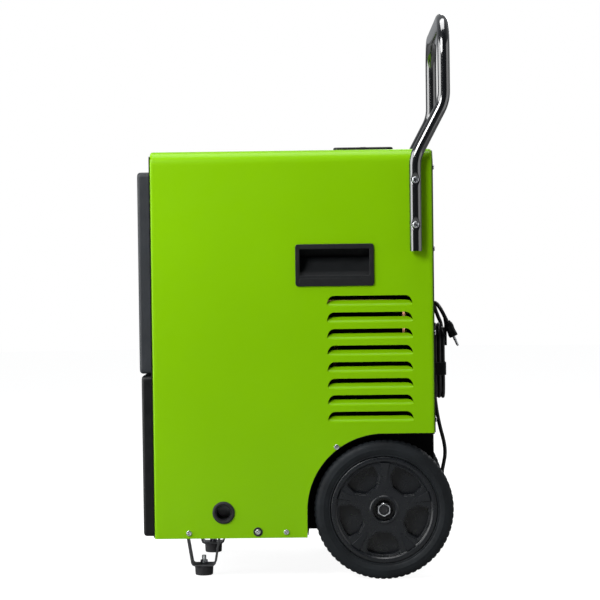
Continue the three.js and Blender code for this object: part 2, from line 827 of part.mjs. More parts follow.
// An elbow gland at the foot of the back panel, with a tapered boot pointing up.
function makeCordGland() {
  const flange = rodX(15, hankY, 124, hookFace, hookFace + 2.5, 16);
  const elbow = alongY(
    polygon([[hookFace + 1, 112], [glandX + 2, 112], [glandX + 9, 119], [glandX + 9, 142],
      [glandX - 9, 142], [hookFace + 1, 136]]),
    hankY - 10, hankY + 10);
  const boot = new THREE.CylinderGeometry(5.2, 8.5, 28, 16).rotateX(Math.PI / 2);
  return join(flange, elbow, boot.translate(glandX, hankY, glandTop - 14));
}

// The free stretch from the gland's boot up to the hank.
const lowerRoute = [
  [264, -100, 168.8], [264.8, -100, 181], [267.6, -99.7, 195], [270, -99, 209],
  [270, -97, 223], [267.8, -93.5, 237], [264.2, -89, 252], [260.6, -84, 268],
  [257.6, -79, 285], [255.2, -74.7, 303], [254, -72.4, 316], [253.5, -72, 325],
];

// The free stretch from the top of the hank, over in an arc and into the plug.
const upperRoute = [
  [267.5, -72, 442.8], [266.2, -72.1, 452], [262.6, -72.7, 461.1], [257.1, -76.6, 475],
  [254.2, -87.5, 485.8], [254.7, -102.3, 490.4], [258.3, -117.2, 487.6], [264.3, -128, 478.2],
  [271.1, -132, 464.7], [274.4, -132, 457.5],
];

function leadTube(route, steps) {
  const points = route.map(([x, y, z]) => new THREE.Vector3(x, y, z));
  return tubeAlong(new THREE.CatmullRomCurve3(points), leadRadius, 8, steps);
}

// The hank: a long loop of folded lead, open down the middle where it hangs on the hook.
function makeHank() {
  const loop = (radius) => {
    const shape = new THREE.Shape();
    shape.moveTo(hankY + radius, hankLowZ);
    shape.lineTo(hankY + radius, hankHighZ);
    shape.absarc(hankY, hankHighZ, radius, 0, Math.PI);
    shape.lineTo(hankY - radius, hankLowZ);
    shape.absarc(hankY, hankLowZ, radius, Math.PI, Math.PI * 2);
    return shape;
  };
  const outline = loop(hankFoldRadius + leadRadius);
  outline.holes.push(loop(hankFoldRadius - 3 * leadRadius));
  return alongX(outline, hankFront, hankFront + hankDepth, 6);
}

// A hook-and-loop strap round the middle of the hank.
function makeHankTie() {
  const reach = hankFoldRadius + leadRadius + gap;
  const t = 1.6;
  const front = hankFront - gap;
  const rear = hankFront + hankDepth + gap;
  return cut(
    box(front - t, rear + t, hankY - reach - t, hankY + reach + t, 358, 382),
    box(front, rear, hankY - reach, hankY + reach, 350, 390));
}

// A moulded two-pin plug: an oval body, two round pins and a short collar for the lead.
function makePlug() {
  const tilt = Math.atan2(10.3, 23.5);
  const body = alongZ(roundedRectangle(-8, 8, -16, 16, 7.5), -30, -4, 4);
  const collar = new THREE.CylinderGeometry(5, 8, 10, 12).rotateX(Math.PI / 2).translate(0, 0, -5);
  const pins = [-9.5, 9.5].map((y) => rodZ(2.2, 0, y, -49, -29, 10));
  return join(body, collar, ...pins).rotateY(-tilt).translate(274.6, -132, 457);
}

// ---------------------------------------------------------------- assembly

addPart('base_pan', makeBasePan(), galvanised, 0.45, 0.8);
addPart('casing_cover', makeCasing(), green, 0.35, 0);
addPart('back_panel', makeBackPanel(), black, 0.5, 0);
addPart('front_frame', makeFrontFrame(), black, 0.5, 0);
addPart('front_grille', makeGrille(), charcoal, 0.55, 0);
addPart('air_filter', makeFilter(), 0x3a3f45, 0.9, 0);
addPart('control_panel', makeControlPanel(), black, 0.45, 0);
addPart('display_lens', makeDisplayLens(), 0x101820, 0.1, 0);
addPart('control_board', makeControlBoard(), 0x1d5a36, 0.6, 0);
addPart('push_handle', makePushHandle(), glossBlack, 0.15, 0);
addPart('drain_grommet', makeDrainGrommet(), rubber, 0.8, 0);
addPart('axle', makeAxle(), zinc, 0.35, 0.9);
addPart('axle_cradle', makeAxleCradle(), galvanised, 0.45, 0.8);

for (const [word, side] of [['left', -1], ['right', 1]]) {
  addPart(`wheel_well_${word}`, makeWheelWell(side), black, 0.6, 0);
  addPart(`pocket_handle_${word}`, makePocketHandle(side), charcoal, 0.5, 0);
  addPart(`handle_screw_upper_${word}`, makeHandleScrew(side, legScrewZ[1]), zinc, 0.3, 0.9);
  addPart(`handle_screw_lower_${word}`, makeHandleScrew(side, legScrewZ[0]), zinc, 0.3, 0.9);
  addPart(`tyre_${word}`, makeTyre(side), rubber, 0.85, 0);
  addPart(`wheel_rim_${word}`, makeRim(side), charcoal, 0.5, 0);
  addPart(`wheel_bush_${word}`, makeBush(side), 0xd8d4c8, 0.5, 0);
  addPart(`wheel_nut_${word}`, makeWheelNut(side), zinc, 0.3, 0.9);
  addPart(`foot_strap_${word}`, makeFootStrap(side), galvanised, 0.4, 0.8);
  addPart(`rubber_foot_${word}`, makeRubberFoot(side), rubber, 0.8, 0);
  addPart(`foot_bolt_${word}`, makeFootBolt(side), zinc, 0.3, 0.9);
}

addPart('water_tank', makeTank(), 0xd9dde0, 0.4, 0);
addPart('tank_front', makeTankFront(), charcoal, 0.55, 0);
addPart('tank_float', makeFloat(), 0xe8e8e4, 0.6, 0);
addPart('partition', makePartition(), galvanised, 0.45, 0.8);
addPart('drip_tray', makeDripTray(), 0xb8bec2, 0.6, 0);
addPart('evaporator', makeCoil(-236, -192), aluminium, 0.5, 0.9);
addPart('condenser', makeCoil(-184, -140), aluminium, 0.5, 0.9);
addPart('fan_shroud', makeFanShroud(), galvanised, 0.45, 0.8);
addPart('fan', makeFan(), 0x2a2c2f, 0.6, 0);
addPart('fan_motor', makeFanMotor(), 0x6d7277, 0.5, 0.7);
addPart('compressor', makeCompressor(), 0x15171a, 0.4, 0.3);
addPart('discharge_pipe', makeDischargePipe(), copper, 0.3, 1);
addPart('suction_pipe', makeSuctionPipe(), copper, 0.3, 1);
addPart('electrical_box', makeElectricalBox(), galvanised, 0.45, 0.8);

const buttonNames = ['button_power', 'button_mode', 'button_down', 'button_up'];
buttonNames.forEach((name, i) => addPart(name, makeButton(buttonY[i]), 0x4a4d50, 0.6, 0));

addPart('cord_hook', makeCordHook(), black, 0.5, 0);
addPart('cord_gland', makeCordGland(), black, 0.6, 0);
addPart('mains_lead_lower', leadTube(lowerRoute, 24), 0x151617, 0.6, 0);
addPart('mains_lead_upper', leadTube(upperRoute, 20), 0x151617, 0.6, 0);
addPart('mains_lead_hank', makeHank(), 0x151617, 0.6, 0);
addPart('hank_tie', makeHankTie(), 0x101010, 0.9, 0);
addPart('mains_plug', makePlug(), 0x1a1b1c, 0.5, 0);

export default machine;
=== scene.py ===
# The looks of a commercial dehumidifier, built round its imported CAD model.
#
# Lengths are written in millimetres and scaled by MM where a mesh is made. The frame is the
# CAD's own: +Z up, front towards -X, and the side with the drain hole towards -Y.
import math
import random

import bmesh
import bpy
from mathutils import Matrix, Vector


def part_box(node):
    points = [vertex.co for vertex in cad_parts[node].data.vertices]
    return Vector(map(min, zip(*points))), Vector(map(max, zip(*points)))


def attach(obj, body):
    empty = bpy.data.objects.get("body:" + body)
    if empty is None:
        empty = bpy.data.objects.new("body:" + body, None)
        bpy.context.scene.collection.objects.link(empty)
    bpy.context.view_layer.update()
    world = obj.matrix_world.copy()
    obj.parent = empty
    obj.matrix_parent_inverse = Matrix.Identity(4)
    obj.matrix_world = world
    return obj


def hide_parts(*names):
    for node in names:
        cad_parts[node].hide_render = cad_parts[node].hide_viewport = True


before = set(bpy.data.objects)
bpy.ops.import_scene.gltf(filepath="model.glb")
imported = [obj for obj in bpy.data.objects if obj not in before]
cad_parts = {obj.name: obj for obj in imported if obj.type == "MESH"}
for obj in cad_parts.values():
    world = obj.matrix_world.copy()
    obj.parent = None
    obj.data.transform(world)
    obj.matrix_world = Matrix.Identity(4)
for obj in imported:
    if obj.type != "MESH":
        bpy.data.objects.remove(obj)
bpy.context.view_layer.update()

MM = 0.001
SIDES = {"left": -1, "right": 1}
random.seed(7)


def extent(node):
    """A CAD node's box in millimetres: x0, x1, y0, y1, z0, z1."""
    low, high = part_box(node)
    return [v / MM for pair in zip(low, high) for v in pair]


def new_object(name, data):
    thing = bpy.data.objects.new(name, data)
    bpy.context.scene.collection.objects.link(thing)
    return thing


# ---------------------------------------------------------------- camera

CAMERA_AT = Vector((0.075, -4.080, 0.592))
CAMERA_YAW, CAMERA_PITCH, CAMERA_ROLL = (math.radians(v) for v in (-0.988, -1.350, -0.740))
CAMERA_LENS = 129.6


def make_camera():
    data = bpy.data.cameras.new("camera")
    data.lens = CAMERA_LENS
    data.clip_end = 100
    camera = new_object("camera", data)
    flat = math.cos(CAMERA_PITCH)
    aim = (math.sin(CAMERA_YAW) * flat, math.cos(CAMERA_YAW) * flat, math.sin(CAMERA_PITCH))
    level = Vector(aim).to_track_quat("-Z", "Y").to_matrix().to_4x4()
    roll = Matrix.Rotation(CAMERA_ROLL, 4, "Z")
    camera.matrix_world = Matrix.Translation(CAMERA_AT) @ level @ roll
    bpy.context.scene.camera = camera


make_camera()

# ---------------------------------------------------------------- procedural materials


class Look:
    """A Principled material whose colour, roughness and relief vary over the surface."""

    def __init__(self, name, colour, roughness, metallic=0.0, specular=0.5):
        self.material = bpy.data.materials.new(name)
        self.material.use_nodes = True
        self.nodes = self.material.node_tree.nodes
        self.links = self.material.node_tree.links
        self.shader = self.nodes["Principled BSDF"]
        self.colour = colour
        self.roughness = roughness
        self.height = None
        self.place = self.nodes.new("ShaderNodeTexCoord").outputs["Object"]
        self.set("Base Color", (*colour, 1))
        self.set("Roughness", roughness)
        self.set("Metallic", metallic)
        self.set("Specular IOR Level", specular)
        self.material.diffuse_color = (*colour, 1)

    def set(self, socket, value):
        self.shader.inputs[socket].default_value = value
        return self

    def texture(self, kind, scale, stretch=(1, 1, 1)):
        """A texture node on the object's own coordinates, which may be stretched."""
        mapping = self.nodes.new("ShaderNodeMapping")
        mapping.inputs["Scale"].default_value = stretch
        self.links.new(self.place, mapping.inputs["Vector"])
        texture = self.nodes.new(kind)
        texture.inputs["Scale"].default_value = scale
        self.links.new(mapping.outputs["Vector"], texture.inputs["Vector"])
        return texture

    def noise(self, scale, detail=3.0, stretch=(1, 1, 1)):
        texture = self.texture("ShaderNodeTexNoise", scale, stretch)
        texture.inputs["Detail"].default_value = detail
        return texture.outputs["Fac"]

    def cells(self, scale, output="Color"):
        return self.texture("ShaderNodeTexVoronoi", scale).outputs[output]

    def ribs(self, scale, axis, distortion=0.0):
        texture = self.nodes.new("ShaderNodeTexWave")
        texture.bands_direction = axis
        texture.inputs["Scale"].default_value = scale
        texture.inputs["Distortion"].default_value = distortion
        self.links.new(self.place, texture.inputs["Vector"])
        return texture.outputs["Fac"]

    def remap(self, source, low, high, start=0.3, end=0.7):
        node = self.nodes.new("ShaderNodeMapRange")
        limits = {"From Min": start, "From Max": end, "To Min": low, "To Max": high}
        for socket, value in limits.items():
            node.inputs[socket].default_value = value
        self.links.new(source, node.inputs["Value"])
        return node.outputs["Result"]

    def math(self, operation, a, b):
        node = self.nodes.new("ShaderNodeMath")
        node.operation = operation
        for socket, value in zip(node.inputs, (a, b)):
            if isinstance(value, (int, float)):
                socket.default_value = value
            else:
                self.links.new(value, socket)
        return node.outputs["Value"]

    def tint(self, source, dark, light, start=0.3, end=0.7):
        """Base colour between two multiples of the look's own colour, along the source."""
        ramp = self.nodes.new("ShaderNodeValToRGB")
        for element, at, k in zip(ramp.color_ramp.elements, (start, end), (dark, light)):
            element.position = at
            scaled = k if isinstance(k, tuple) else tuple(min(1.0, c * k) for c in self.colour)
            element.color = (*scaled, 1)
        self.links.new(source, ramp.inputs["Fac"])
        self.links.new(ramp.outputs["Color"], self.shader.inputs["Base Color"])
        return self

    def wear(self, source, spread):
        """Roughness that drifts about its mean along the source."""
        mean = self.roughness
        rough = self.remap(source, max(0.02, mean - spread), min(1.0, mean + spread))
        self.links.new(rough, self.shader.inputs["Roughness"])
        return self

    def relief(self, source, strength, distance):
        """A bump, stacked on any earlier one."""
        bump = self.nodes.new("ShaderNodeBump")
        bump.inputs["Strength"].default_value = strength
        bump.inputs["Distance"].default_value = distance * MM
        self.links.new(source, bump.inputs["Height"])
        if self.height is not None:
            self.links.new(self.height, bump.inputs["Normal"])
        self.height = bump.outputs["Normal"]
        self.links.new(self.height, self.shader.inputs["Normal"])
        return self


def gloss_paint(name, colour, roughness, peel=0.10, specular=0.5, coat=0.12, coat_ior=1.5):
    """Powder coat: even colour, a faint orange peel and a clear top layer."""
    look = Look(name, colour, roughness, specular=specular)
    look.tint(look.noise(3.0, 2), 0.96, 1.04)
    look.wear(look.noise(40, 2), 0.03)
    look.relief(look.noise(420, 1), peel, 0.06)
    look.set("Coat Weight", coat).set("Coat Roughness", 0.12).set("Coat IOR", coat_ior)
    return look.material


def satin_paint(name, colour, roughness):
    look = Look(name, colour, roughness, specular=0.4)
    look.tint(look.noise(12, 4), 0.85, 1.18)
    look.wear(look.noise(60, 3), 0.06)
    look.relief(look.noise(900, 2), 0.25, 0.06)
    return look.material


def moulded(name, colour, roughness, grain=0.35, scale=1500, specular=0.35):
    """Injection-moulded plastic with a spark-eroded grain."""
    look = Look(name, colour, roughness, specular=specular)
    look.tint(look.noise(18, 4), 0.88, 1.15)
    look.wear(look.noise(90, 3), 0.07)
    look.relief(look.cells(scale, "Distance"), grain, 0.10)
    look.relief(look.noise(scale * 0.4, 3), grain * 0.6, 0.10)
    return look.material


def rubbery(name, colour, roughness, specular=0.25, bloom=1.5):
    """Rubber with a dull, slightly dusty bloom."""
    look = Look(name, colour, roughness, specular=specular)
    look.tint(look.noise(26, 6), 0.75, bloom)
    look.wear(look.noise(120, 4), 0.10)
    look.relief(look.noise(1400, 4), 0.45, 0.12)
    look.relief(look.noise(160, 3), 0.15, 0.25)
    return look.material


def plated(name, colour, roughness, streak=(1, 1, 1)):
    """Zinc plate or drawn metal, with fine streaks."""
    look = Look(name, colour, roughness, metallic=1.0)
    look.tint(look.noise(220, 4, streak), 0.82, 1.08)
    look.wear(look.noise(500, 4, streak), 0.10)
    look.relief(look.noise(1600, 3, streak), 0.20, 0.04)
    return look.material


def spangled(name, colour, roughness):
    """Hot-dip galvanised sheet with its crystal pattern."""
    look = Look(name, colour, roughness, metallic=0.9)
    look.tint(look.cells(140), 0.70, 1.12, 0.1, 0.9)
    look.wear(look.cells(140), 0.12)
    look.relief(look.noise(700, 4), 0.15, 0.05)
    return look.material


def woven(name, colour, pitch):
    """Two crossing sets of threads, each thread pitch millimetres wide."""
    look = Look(name, colour, 0.9, specular=0.2)
    scale = 1 / (pitch * MM) / 20 * math.pi
    warp, weft = look.ribs(scale, "Y", 0.4), look.ribs(scale, "Z", 0.4)
    threads = look.math("MULTIPLY", warp, weft)
    look.tint(threads, 0.55, 1.5, 0.1, 0.9)
    look.relief(threads, 0.8, 0.3)
    look.relief(look.noise(2400, 3), 0.4, 0.15)
    look.set("Sheen Weight", 0.25).set("Sheen Roughness", 0.5)
    return look.material


GREEN = gloss_paint("green_powder_coat", (0.205, 0.475, 0.0), 0.34, specular=0.12)
HANDLE_BLACK = gloss_paint("handle_gloss_black", (0.004, 0.0045, 0.006), 0.12, peel=0.004, specular=1.0,
                           coat=1.0, coat_ior=1.75)
BLACK_PAINT = satin_paint("black_panel_paint", (0.007, 0.007, 0.008), 0.42)
CHARCOAL = moulded("charcoal_moulding", (0.019, 0.022, 0.026), 0.48)
POCKET_PLASTIC = moulded("pocket_moulding", (0.008, 0.009, 0.010), 0.45, specular=0.3)
BLACK_PLASTIC = moulded("black_moulding", (0.0035, 0.004, 0.0045), 0.40, specular=0.25)
WELL_BLACK = moulded("wheel_well_liner", (0.0015, 0.0015, 0.0018), 0.65, specular=0.1)
RIM_PLASTIC = moulded("wheel_rim_moulding", (0.0065, 0.008, 0.0105), 0.30, grain=0.12, specular=0.5)
TYRE = rubbery("tyre_rubber_worn", (0.0085, 0.0105, 0.0125), 0.62, specular=0.2)
RUBBER = rubbery("black_rubber_fitting", (0.018, 0.018, 0.020), 0.55)
FOOT_RUBBER = rubbery("speckled_foot_rubber", (0.030, 0.030, 0.032), 0.75, bloom=2.4)
ZINC = plated("bright_zinc", (0.72, 0.74, 0.77), 0.22)
GALVANISED = spangled("galvanised_sheet", (0.42, 0.43, 0.44), 0.40)
STRAP_STEEL = plated("foot_strap_steel", (0.20, 0.20, 0.21), 0.45, (1, 1, 6))
LENS = gloss_paint("display_window", (0.008, 0.010, 0.013), 0.06, peel=0.01)
BOARD = moulded("circuit_board_lacquer", (0.02, 0.12, 0.05), 0.35, grain=0.2, scale=400)
BUTTON = moulded("button_moulding", (0.14, 0.15, 0.16), 0.45, grain=0.2)
MESH = woven("filter_mesh_weave", (0.045, 0.050, 0.055), 1.6)
TANK = moulded("tank_polyethylene", (0.62, 0.64, 0.66), 0.45, grain=0.15)
NYLON = moulded("natural_nylon", (0.62, 0.60, 0.53), 0.45, grain=0.15)
ALUMINIUM = plated("fin_aluminium_sheet", (0.68, 0.69, 0.71), 0.35, (1, 1, 0.1))
COPPER = plated("copper_tube", (0.72, 0.36, 0.20), 0.28)
COMPRESSOR = satin_paint("compressor_enamel", (0.012, 0.013, 0.015), 0.30)
MOTOR = satin_paint("motor_casting_grey", (0.16, 0.17, 0.18), 0.45)
FAN = moulded("fan_polypropylene", (0.030, 0.031, 0.035), 0.50)
SHEATH = rubbery("lead_sheath_pvc", (0.013, 0.013, 0.014), 0.42, specular=0.4, bloom=1.2)
# Near-black matte for the board behind the louvres: painted shade.
SHADE_BOARD_BLACK = rubbery("louvre_shade_board_black", (0.006, 0.006, 0.007), 0.95, specular=0.05)
STRAP = woven("hook_and_loop_tape", (0.010, 0.010, 0.011), 0.9)

# ---------------------------------------------------------------- mesh building

WELD_GAP = 0.02
EDGE_ANGLE = 40


def circle(radius, steps, centre=(0, 0), start=0.0):
    turn = 2 * math.pi / steps
    return [
        (centre[0] + radius * math.cos(start + i * turn), centre[1] + radius * math.sin(start + i * turn))
        for i in range(steps)
    ]


def rounded(points, radius, steps=4):
    """A polygon with each corner rounded by a short curve that starts radius from the corner."""
    loop = []
    count = len(points)
    for i, corner in enumerate(points):
        here = Vector(corner)
        before = here + (Vector(points[i - 1]) - here).normalized() * radius
        after = here + (Vector(points[(i + 1) % count]) - here).normalized() * radius
        for k in range(steps + 1):
            t = k / steps
            point = before * (1 - t) ** 2 + here * 2 * t * (1 - t) + after * t * t
            loop.append((point.x, point.y))
    return loop


def rectangle(a0, a1, b0, b1, radius=0.0, steps=4):
    corners = [(a0, b0), (a1, b0), (a1, b1), (a0, b1)]
    return rounded(corners, radius, steps) if radius else corners


def place(bm, rule):
    """Moves every vertex to rule(a, b, c)."""
    for vertex in bm.verts:
        vertex.co = Vector(rule(*vertex.co))
    return bm


def merge(target, *sources):
    """Adds the sources' geometry to the target, and frees them."""
    for source in sources:
        mesh = bpy.data.meshes.new("part")
        source.to_mesh(mesh)
        source.free()
        target.from_mesh(mesh)
        bpy.data.meshes.remove(mesh)
    return target


def plate(loops, thickness, bevel=0.0, resolution=1):
    """A flat sheet with holes, drawn as (a, b). Its third coordinate runs from 0 at the face to
    thickness at the back. The first loop is the outline."""
    curve = bpy.data.curves.new("outline", "CURVE")
    curve.dimensions = "2D"
    curve.fill_mode = "BOTH"
    curve.extrude = thickness / 2 - bevel
    curve.bevel_depth = bevel
    curve.bevel_resolution = resolution
    curve.offset = -bevel
    for loop in loops:
        spline = curve.splines.new("POLY")
        spline.points.add(len(loop) - 1)
        for point, (a, b) in zip(spline.points, loop):
            point.co = (a, b, 0, 1)
        spline.use_cyclic_u = True
    holder = new_object("outline", curve)
    graph = bpy.context.evaluated_depsgraph_get()
    mesh = bpy.data.meshes.new_from_object(holder.evaluated_get(graph))
    bm = bmesh.new()
    bm.from_mesh(mesh)
    bpy.data.objects.remove(holder)
    bpy.data.curves.remove(curve)
    bpy.data.meshes.remove(mesh)
    bmesh.ops.remove_doubles(bm, verts=bm.verts, dist=0.004)
    return place(bm, lambda a, b, c: (a, b, thickness / 2 - c))


def loft(rings, start_cap=True, end_cap=True):
    """A skin over rings that have the same number of points."""
    bm = bmesh.new()
    rows = [[bm.verts.new(p) for p in ring] for ring in rings]
    count = len(rows[0])
    for low, high in zip(rows, rows[1:]):
        for i in range(count):
            j = (i + 1) % count
            bm.faces.new((low[i], low[j], high[j], high[i]))
    if start_cap:
        bm.faces.new(rows[0][::-1])
    if end_cap:
        bm.faces.new(rows[-1])
    return bm


def lathe(profile, segments, closed=True, shape=None):
    """A closed profile of [radius, height] turned about the height axis, as (a, b, height).
    shape(angle, radius, height) may change the radius."""
    bm = bmesh.new()
    rows = []
    for i in range(segments):
        angle = 2 * math.pi * i / segments
        row = []
        for r, h in profile:
            radius = shape(angle, r, h) if shape else r
            row.append(bm.verts.new((radius * math.cos(angle), radius * math.sin(angle), h)))
        rows.append(row)
    count = len(profile)
    for i in range(segments):
        here, there = rows[i], rows[(i + 1) % segments]
        for k in range(count if closed else count - 1):
            n = (k + 1) % count
            bm.faces.new((here[k], there[k], there[n], here[n]))
    return bm


def grid(points):
    """An open sheet over rows of points."""
    bm = bmesh.new()
    rows = [[bm.verts.new(p) for p in row] for row in points]
    for low, high in zip(rows, rows[1:]):
        for i in range(len(low) - 1):
            bm.faces.new((low[i], low[i + 1], high[i + 1], high[i]))
    return bm


def sweep(points, radius, sides):
    """An open round tube along points, turned as little as possible from one to the next."""
    path = [Vector(p) for p in points]
    heading = (path[1] - path[0]).normalized()
    across = heading.orthogonal().normalized()
    rings = []
    for i, point in enumerate(path):
        ahead = path[min(i + 1, len(path) - 1)] - path[max(i - 1, 0)]
        turn = heading.rotation_difference(ahead.normalized())
        heading = ahead.normalized()
        across = turn @ across
        across = (across - heading * across.dot(heading)).normalized()
        other = heading.cross(across)
        rings.append([point + across * (a * radius) + other * (b * radius) for a, b in circle(1, sides)])
    return loft(rings, False, False)


def weight_normals(piece):
    """Keeps flat faces looking flat beside rounded edges."""
    weighted = piece.modifiers.new("weighted_normals", "WEIGHTED_NORMAL")
    weighted.weight = 100
    weighted.keep_sharp = True


def add_piece(name, bm, material, body="root", replaces=(), smooth=35, recalculate=True):
    """Makes the object in metres, shades it, and has it ride on its CAD body."""
    if recalculate:
        bmesh.ops.recalc_face_normals(bm, faces=bm.faces)
    bmesh.ops.scale(bm, vec=(MM, MM, MM), verts=bm.verts)
    mesh = bpy.data.meshes.new(name)
    bm.to_mesh(mesh)
    bm.free()
    mesh.materials.append(material)
    mesh.shade_smooth()
    mesh.set_sharp_from_angle(angle=math.radians(smooth))
    piece = new_object(name, mesh)
    weight_normals(piece)
    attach(piece, body)
    if replaces:
        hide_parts(*replaces)
    return piece


def dress(node, material, bevel=0.0):
    """Gives a CAD node its material, and softens its edges with modifiers."""
    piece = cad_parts[node]
    piece.data.materials.clear()
    piece.data.materials.append(material)
    if "custom_normal" in piece.data.attributes:
        piece.data.attributes.remove(piece.data.attributes["custom_normal"])
    weld = piece.modifiers.new("weld", "WELD")
    weld.merge_threshold = WELD_GAP * MM
    if bevel:
        rounding = piece.modifiers.new("bevel", "BEVEL")
        rounding.width = bevel * MM
        rounding.segments = 2
        rounding.limit_method = "ANGLE"
        rounding.angle_limit = math.radians(EDGE_ANGLE)
        rounding.use_clamp_overlap = True
    weight_normals(piece)


# ---------------------------------------------------------------- mains lead

LEAD_DIAMETER = 7.0
GLAND_X = 264
GLAND_Y = -100
BOOT_TOP = 168
HANK_Y = -100
HANK_LOW = 345.5
HANK_HIGH = 422.5
LAYER_X = (253.5, 260.5, 267.5)
OUTER_FOLD = 28.0
INNER_FOLD = 21.0

LOWER_ROUTE = [
    (264, -100, 168.8), (264.8, -100, 181), (267.6, -99.7, 195), (270, -99, 209),
    (270, -97, 223), (267.8, -93.5, 237), (264.2, -89, 252), (260.6, -84, 268),
    (257.6, -79, 285), (255.2, -74.7, 303), (254, -72.4, 316), (253.5, -72, 325),
]
UPPER_ROUTE = [
    (267.5, -72, 442.8), (266.2, -72.1, 452), (262.6, -72.7, 461.1), (257.1, -76.6, 475),
    (254.2, -87.5, 485.8), (254.7, -102.3, 490.4), (258.3, -117.2, 487.6), (264.3, -128, 478.2),
    (271.1, -132, 464.7), (274.4, -132, 457.5),
]


def smooth_through(points, steps):
    """A Catmull-Rom curve through the points."""
    at = [Vector(p) for p in points]
    at = [at[0] * 2 - at[1]] + at + [at[-1] * 2 - at[-2]]
    result = []
    for a, b, c, d in zip(at, at[1:], at[2:], at[3:]):
        for k in range(steps):
            t = k / steps
            result.append(
                (b * 2 + (c - a) * t + (a * 2 - b * 5 + c * 4 - d) * t ** 2
                 + (b * 3 - a - c * 3 + d) * t ** 3) / 2
            )
    return result + [at[-2]]


def fold(x0, x1, y0, y1, centre_z, upward):
    """Half a turn from y0 over or under to y1, while x drifts from x0 to x1."""
    radius, middle = abs(y1 - y0) / 2, (y0 + y1) / 2
    sign = 1 if upward else -1
    points = []
    for k in range(13):
        angle = math.pi * k / 12
        ease = (1 - math.cos(angle)) / 2
        y = middle + (y0 - middle) * math.cos(angle)
        points.append(Vector((x0 + (x1 - x0) * ease, y, centre_z + sign * radius * math.sin(angle))))
    return points


def run(x, y, z0, z1):
    """A straight run of the hank, without its two ends."""
    return [Vector((x, y, z0 + (z1 - z0) * k / 8)) for k in range(1, 8)]


def hank_path():
    """Up on the far side and down on the near side, layer by layer, and out at the top."""
    far_out, far_in = HANK_Y + OUTER_FOLD, HANK_Y + INNER_FOLD
    near_out, near_in = HANK_Y - OUTER_FOLD, HANK_Y - INNER_FOLD
    a, b, c = LAYER_X
    turns = [  # layer, side up, side down, next layer, next side up, fold centre at the bottom
        (a, far_out, near_out, a, far_in, HANK_LOW - 3.5),
        (a, far_in, near_in, b, far_in, HANK_LOW),
        (b, far_in, near_in, b, far_out, HANK_LOW - 3.5),
        (b, far_out, near_out, c, far_in, HANK_LOW + 3.5),
        (c, far_in, near_in, c, far_out, HANK_LOW - 3.5),
    ]
    points = []
    for x, up, down, next_x, next_up, low in turns:
        points += run(x, up, HANK_LOW, HANK_HIGH)
        points += fold(x, x, up, down, HANK_HIGH, True)
        points += run(x, down, HANK_HIGH, HANK_LOW)
        points += fold(x, next_x, down, next_up, low, False)
    return points + run(c, far_out, HANK_LOW, HANK_HIGH)


def evened(points, spacing):
    """The same line with points at even spacing."""
    result, travelled = [points[0]], 0.0
    for here, there in zip(points, points[1:]):
        length = (there - here).length
        while length and travelled + length >= spacing:
            here = here + (there - here) * ((spacing - travelled) / length)
            length = (there - here).length
            travelled = 0.0
            result.append(here)
        travelled += length
    if (result[-1] - points[-1]).length > 0.3 * spacing:
        result.append(points[-1])
    return result


def make_lead():
    route = smooth_through(LOWER_ROUTE, 6) + hank_path() + smooth_through(UPPER_ROUTE, 6)
    route = evened(route, 3.2)
    curve = bpy.data.curves.new("mains_lead", "CURVE")
    curve.dimensions = "3D"
    curve.bevel_depth = LEAD_DIAMETER / 2 * MM
    curve.bevel_resolution = 4
    curve.use_fill_caps = True
    spline = curve.splines.new("POLY")
    spline.points.add(len(route) - 1)
    for point, at in zip(spline.points, route):
        point.co = (*(at * MM), 1)
    spline.use_smooth = True
    curve.materials.append(SHEATH)
    lead = new_object("mains_lead", curve)
    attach(lead, "root")
    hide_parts("mains_lead_lower", "mains_lead_upper", "mains_lead_hank")
    length = sum((b - a).length for a, b in zip(route, route[1:])) * MM
    return lead, length


def make_tie():
    """A soft strap round the hank, with its free end lapped over."""
    x0, x1, y0, y1, z0, z1 = extent("hank_tie")
    middle_x, middle_y = (x0 + x1) / 2, (y0 + y1) / 2
    thickness = 1.5
    bm = bmesh.new()
    for lift, first, last in ((0.0, 0.0, 1.0), (-thickness, 0.60, 0.86)):
        loop = rectangle(x0 - lift, x1 + lift, y0 - lift, y1 + lift, 7, 8)
        count = len(loop)
        part = loop[int(first * count):int(last * count) + 1] if last < 1 else loop + loop[:1]
        rows = []
        for x, y in part:
            inwards = Vector((middle_x - x, middle_y - y, 0)).normalized() * thickness
            shrink = 0.4 if lift == 0 else 0
            rows.append([
                (x, y, z0 + 0.8), (x, y, z1 - 0.8),
                (x + inwards.x, y + inwards.y, z1 - shrink),
                (x + inwards.x, y + inwards.y, z0 + shrink),
            ])
        merge(bm, loft(rows))
    return add_piece("hank_strap", bm, STRAP, replaces=("hank_tie",))


